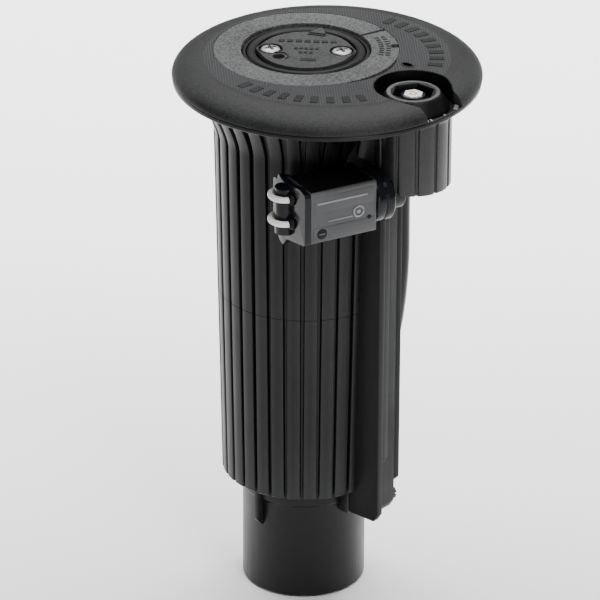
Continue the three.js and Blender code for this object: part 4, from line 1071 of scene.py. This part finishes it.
def make_dial():
    centre = (SELECTOR_X, 0.0)
    outline = hung([(0, 39), (12, 39), (12, 12.6), (20.6, 12.6), (20.5, 11.4), (19.4, 9.4), (16.3, 4.6),
                    (15.9, 4.0), (15.3, 3.5), (0, 3.5)])
    dial = plain(lathe_bm(fillet(outline[1:-1], 0.35, 3, False) + [(0, TOP - 3.5), (0, TOP - 39)], 144,
                          centre))
    key = solid(hexagon(12.5, centre), TOP - 10, TOP)
    bore = solid(circle(5.2, 48, centre), TOP - 38, TOP)
    combine(dial, [key, bore])
    shaped("dial_cone", dial, (0.25, 2, 40), DIAL_LOOK, "selector", "plastic", "selector_dial")
    collar = fillet(hung([(5.9, 10), (7.4, 10), (6.8, 5.1), (5.9, 4.8)]), 0.3, 2)
    finished("adjuster_collar", lathe_bm(collar, 72, centre), DIAL_LOOK, "selector", "plastic")
    band = hung([(12.9, 3.55), (15.15, 3.55), (15.05, 3.3), (13.0, 3.3)])
    finished("dial_face_band", lathe_bm(fillet(band, 0.08, 2), 120, centre), LOOKS["ring"], "selector",
             "ring")


def make_adjuster():
    centre = (SELECTOR_X, 0.0)
    head = solid(hexagon(5.77, centre), TOP - 9.6, TOP - 4.4)
    shank = solid(circle(4.8, 48, centre), TOP - 31, TOP - 9.2)
    combine(head, [shank], "UNION")
    combine(head, [solid(circle(2.0, 40, centre), TOP - 33, TOP)])
    shaped("adjuster_hex", head, (0.35, 3, 40), LOOKS["acetal"], "pressure_screw", "acetal",
           "pressure_adjust_screw")
    core = fillet(hung([(0, 31), (1.7, 31), (1.75, 4.2), (1.2, 3.9)]), 0.2, 2, False) + [(0, TOP - 3.85)]
    finished("adjuster_core", lathe_bm(core, 48, centre), LOOKS["brass"], "pressure_screw", "brass",
             "pressure_adjust_core")


def make_position_marks():
    """Three groups of raised marks on the rim's lip, one for each setting."""
    for number, (degrees, bars, reach) in enumerate(((-31, 3, 24.6), (0, 1, 23.2), (31, 3, 24.6))):
        outlines = []
        for k in range(bars):
            angle = degrees + (k - (bars - 1) / 2) * 5.5
            place = polar(reach, angle, (SELECTOR_X, 0.0))
            outlines.append(bar(place, angle, 1.4 if bars == 1 else 2.4, 1.1))
        raised_group(f"position_mark_{number + 1}", outlines, PLATE_TOP - 0.3, PLATE_TOP + 0.35, MARK_LOOK,
                     "case", "case")


make_dial()
make_adjuster()
make_position_marks()


# ---- solenoid ----
def section(half_y, half_z, corner, steps=6):
    points = []
    for cy, cz, start in ((1, 1, 0), (-1, 1, 90), (-1, -1, 180), (1, -1, 270)):
        centre = (cy * (half_y - corner), cz * (half_z - corner))
        points += circle(corner, steps + 1, centre, start, start + 90)
    return points


def make_solenoid():
    """Coil shell, the potting at its end with the clamp and post for the leads, and the adapter."""
    along = COIL_PLACE @ LENGTHWISE
    half_y, half_z = SOLENOID_DEPTH / 2, SOLENOID_HEIGHT / 2
    shell = solid(section(half_y, half_z, 1.6), -SOLENOID_LENGTH, 0, along)
    hollow = solid(section(half_y - 2, half_z - 2, 1), -SOLENOID_LENGTH - 1, -2.5, along)
    mouth = solid(circle(6.5, 48), -5, 1, along)
    combine(shell, [hollow, mouth])
    shaped("coil_shell", shell, (0.5, 3, 40), FACE_LOOK, "case", "plastic", "solenoid_housing")
    outline = [(-half_y, -half_z), (-half_y, half_z - 0.6), (-half_y + 6.5, half_z + 1.2),
               (half_y - 5, half_z - 1.6), (half_y - 1, half_z - 0.8), (half_y + 2.6, half_z + 1.6),
               (half_y + 4.4, half_z - 4), (half_y + 5.4, 2), (half_y + 5.4, -half_z + 1),
               (half_y + 1.5, -half_z - 7.5), (half_y - 3, -half_z - 9.6), (half_y - 7.5, -half_z - 4)]
    plate = solid(fillet(outline, 1.6, 4), END_X - 3.6, END_X, along)
    post = solid(circle(LEAD_BEND - 2.3, 48, (LEAD_X, LEAD_Y)), -15.5, 12.5, COIL_PLACE)
    shell_side = solid(rectangle(END_X, 99, -99, 99), -50, 50, COIL_PLACE)
    combine(post, [shell_side])
    clamp = solid(section(4.1, 13, 2), END_X - 3.6, END_X + 5,
                  COIL_PLACE @ Matrix.Translation((0, half_y + 4.4, 0)) @ LENGTHWISE)
    combine(plate, [post, clamp], "UNION")
    holes = [solid(circle(2.1, 32, (LEAD_Y + LEAD_BEND, height)), END_X - 9, END_X + 1.6, along)
             for height in LEAD_HEIGHTS.values()]
    combine(plate, holes)
    shaped("coil_potting", plate, (0.8, 4, 35), LOOKS["gloss"], "case", "gloss", "solenoid_potting",
           smooth=45)
    adapter = fillet([(6.4, -2.8), (15.2, -2.8), (16, -2.0), (16, 2.6), (15.4, 2.9), (15.4, 3.4), (16, 3.7),
                      (16, 8.2), (15.2, 9), (8.1, 9), (8.1, 14.4), (1.2, 14.4), (1.2, 10.2), (5.6, 10.2),
                      (5.6, 4), (6.4, 4)], 0.3, 2)
    bm = lathe_bm(adapter, 112, (0.0, 0.0))
    scale = Matrix.Scale(MM, 4) @ SOLENOID_PLACE @ LENGTHWISE @ Matrix.Scale(1 / MM, 4)
    bmesh.ops.transform(bm, matrix=scale, verts=bm.verts)
    finished("adapter_disc", bm, LOOKS["gloss"], "case", "gloss", "solenoid_adapter")


def make_solenoid_marks():
    """Plain moulding marks on the solenoid's face, and a black plate on its top as painted shadow from the
    flange.
    """
    front = COIL_PLACE @ Matrix.Translation((0, -SOLENOID_DEPTH / 2, 0))
    front = front @ Matrix.Rotation(math.pi / 2, 4, "X")
    half_z = SOLENOID_HEIGHT / 2
    stud = (-35.0, -half_z + 5.6)
    seal = (-11.5, -1.0)
    hole = circle(2.6, 40, seal)
    marks = {
        "face_step": (rectangle(-40.5, -1.5, -half_z + 1.5, -half_z + 9.5), 0.25, FACE_LOOK),
        "face_panel": (rectangle(-40.0, -2.0, half_z - 12.5, half_z - 3.0), 0.2, FACE_LOOK),
        "face_seal": (circle(3.6, 40, seal) + hole[:1] + hole[:0:-1], 0.45, MARK_LOOK),
        "face_seal_hub": (circle(1.2, 24, seal), 0.45, MARK_LOOK),
        "face_stud": (circle(3.2, 36, stud), 0.4, DIAL_LOOK),
        "face_stud_slot": (rectangle(stud[0] - 1.9, stud[0] + 1.9, stud[1] - 0.5, stud[1] + 0.5), 0.6,
                           FACE_LOOK),
        "face_dot": (circle(1.2, 24, (-4.6, -half_z + 9.8)), 0.5, DIAL_LOOK),
        "face_stripe": (rectangle(-38.0, -6.0, half_z - 7.6, half_z - 6.6), 0.4, MARK_LOOK),
        "face_stripe_low": (rectangle(-31.0, -15.5, -3.4, -2.8), 0.3, MARK_LOOK),
    }
    for name, (outline, height, look) in marks.items():
        shaped(name, solid(outline, -0.3, height, front), (0.12, 2), look, "case", "plastic")
    # Painted shadow: a thin black plate over the top face, which lies in the flange's shadow.
    shadow_plate = section(SOLENOID_DEPTH / 2 - 1.4, SOLENOID_LENGTH / 2 - 0.8, 0.6, 3)
    place = COIL_PLACE @ Matrix.Translation((-SOLENOID_LENGTH / 2, 0, half_z))
    place = place @ Matrix.Rotation(math.pi / 2, 4, "Z")
    shaped("coil_top_painted_shadow", solid(shadow_plate, -0.4, 0.25, place), (0.15, 2), DIAL_LOOK, "case", "plastic")


def make_grommets():
    """Collars where the leads leave the potting."""
    for label, height in LEAD_HEIGHTS.items():
        start, after = lead_route(height)[0], lead_route(height)[1]
        direction = (after - start).normalized()
        points = [start + direction * reach for reach in (0.2, 0.9, 1.9, 2.4)]
        grommet = plain(sweep_bm(points, [3.4, 3.3, 2.7, 2.3], 28))
        combine(grommet, [plain(sweep_bm([start - direction, start + direction * 4], 2.0, 28))])
        dressed(f"grommet_{label}", grommet, LOOKS["rubber"], "case", "rubber")


make_solenoid()
make_solenoid_marks()
make_grommets()


# ---- tube and plug on the duct ----
def make_tube():
    out = RIB_TIP_R + 4.3
    turn = math.radians(22)
    route = [(out, LOBE_FOOT - 1), (out, LOBE_FOOT - 35), (out, LOBE_FOOT - 65),
             (out - 1.8, LOBE_FOOT - 92), (out - 5, LOBE_FOOT - 113), (out - 10.5, LOBE_FOOT - 128)]
    points = [(AXIS_X + r * math.cos(turn), r * math.sin(turn), z) for r, z in route]
    path = smooth_path(points, 10)
    finished("discharge_tube_smooth", sweep_bm([tuple(p) for p in path], 6.2, 32), LOOKS["gloss"], "case",
             "gloss", "discharge_tube")


def make_plug():
    """Knurled head on the duct's plug, with its driver slot."""
    low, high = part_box("duct_plug")
    centre = (low + high) / 2 / MM
    place = Matrix.Translation((centre.x, high.y / MM - 3.3, centre.z)) @ Matrix.Rotation(-math.pi / 2, 4,
                                                                                          "X")
    grip = []
    for i in range(72):
        angle = 2 * math.pi * i / 72
        radius = 4.2 if i % 6 < 4 else 3.85
        grip.append((radius * math.cos(angle), radius * math.sin(angle)))
    knob = solid(grip, 0, 3.3, place)
    shank = solid(circle(2.6, 40), low.y / MM - high.y / MM + 3.4, 0.2, place)
    combine(knob, [shank], "UNION")
    combine(knob, [solid(rectangle(-5, 5, -0.6, 0.6), 2.1, 5, place)])
    shaped("plug_knob", knob, (0.2, 2, 40), LOOKS["plastic"], "case", "plastic", "duct_plug")


make_tube()
make_plug()


# ---- springs and arc screw ----
def make_spring(name, node, turns, wire):
    """A coil with closed ends between the moving body below and the case above."""
    low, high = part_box(node)
    centre = (low + high) / 2 / MM
    radius = (high.x - low.x) / 2 / MM - wire
    bottom, top = low.z / MM + wire, high.z / MM - wire
    points = []
    steps = round(turns * 32)
    for i in range(steps + 1):
        t = i / steps
        lift = min(1.0, max(0.0, (t * turns - 0.5) / (turns - 1.0)))
        angle = 2 * math.pi * turns * t
        points.append((centre.x + radius * math.cos(angle), centre.y + radius * math.sin(angle),
                       bottom + (top - bottom) * lift))
    coil = plain(sweep_bm(points, wire, 12))
    dressed(name, coil, LOOKS["steel"], "", "steel", node, 60)
    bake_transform(coil)


def make_arc_screw():
    low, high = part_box("arc_adjust_screw")
    centre = ((low.x + high.x) / 2 / MM, (low.y + high.y) / 2 / MM)
    radius = (high.x - low.x) / 2 / MM
    bottom, top = low.z / MM, high.z / MM
    outline = fillet([(0, bottom), (radius - 0.1, bottom), (radius - 0.1, top), (0, top)], 0.4, 3, False)
    screw = plain(lathe_bm(outline, 64, centre))
    turn = turned_about(centre, 20)
    combine(screw, [solid(rectangle(-9, 9, -0.5, 0.5), top - 1.3, top + 1, turn)])
    shaped("arc_screw_slotted", screw, (0.1, 2, 40), LOOKS["plastic"], "arc_screw", "plastic",
           "arc_adjust_screw")


make_spring("retract_coil", "retract_spring", 9, 1.15)
make_spring("valve_coil", "valve_spring", 4.5, 0.75)
make_arc_screw()
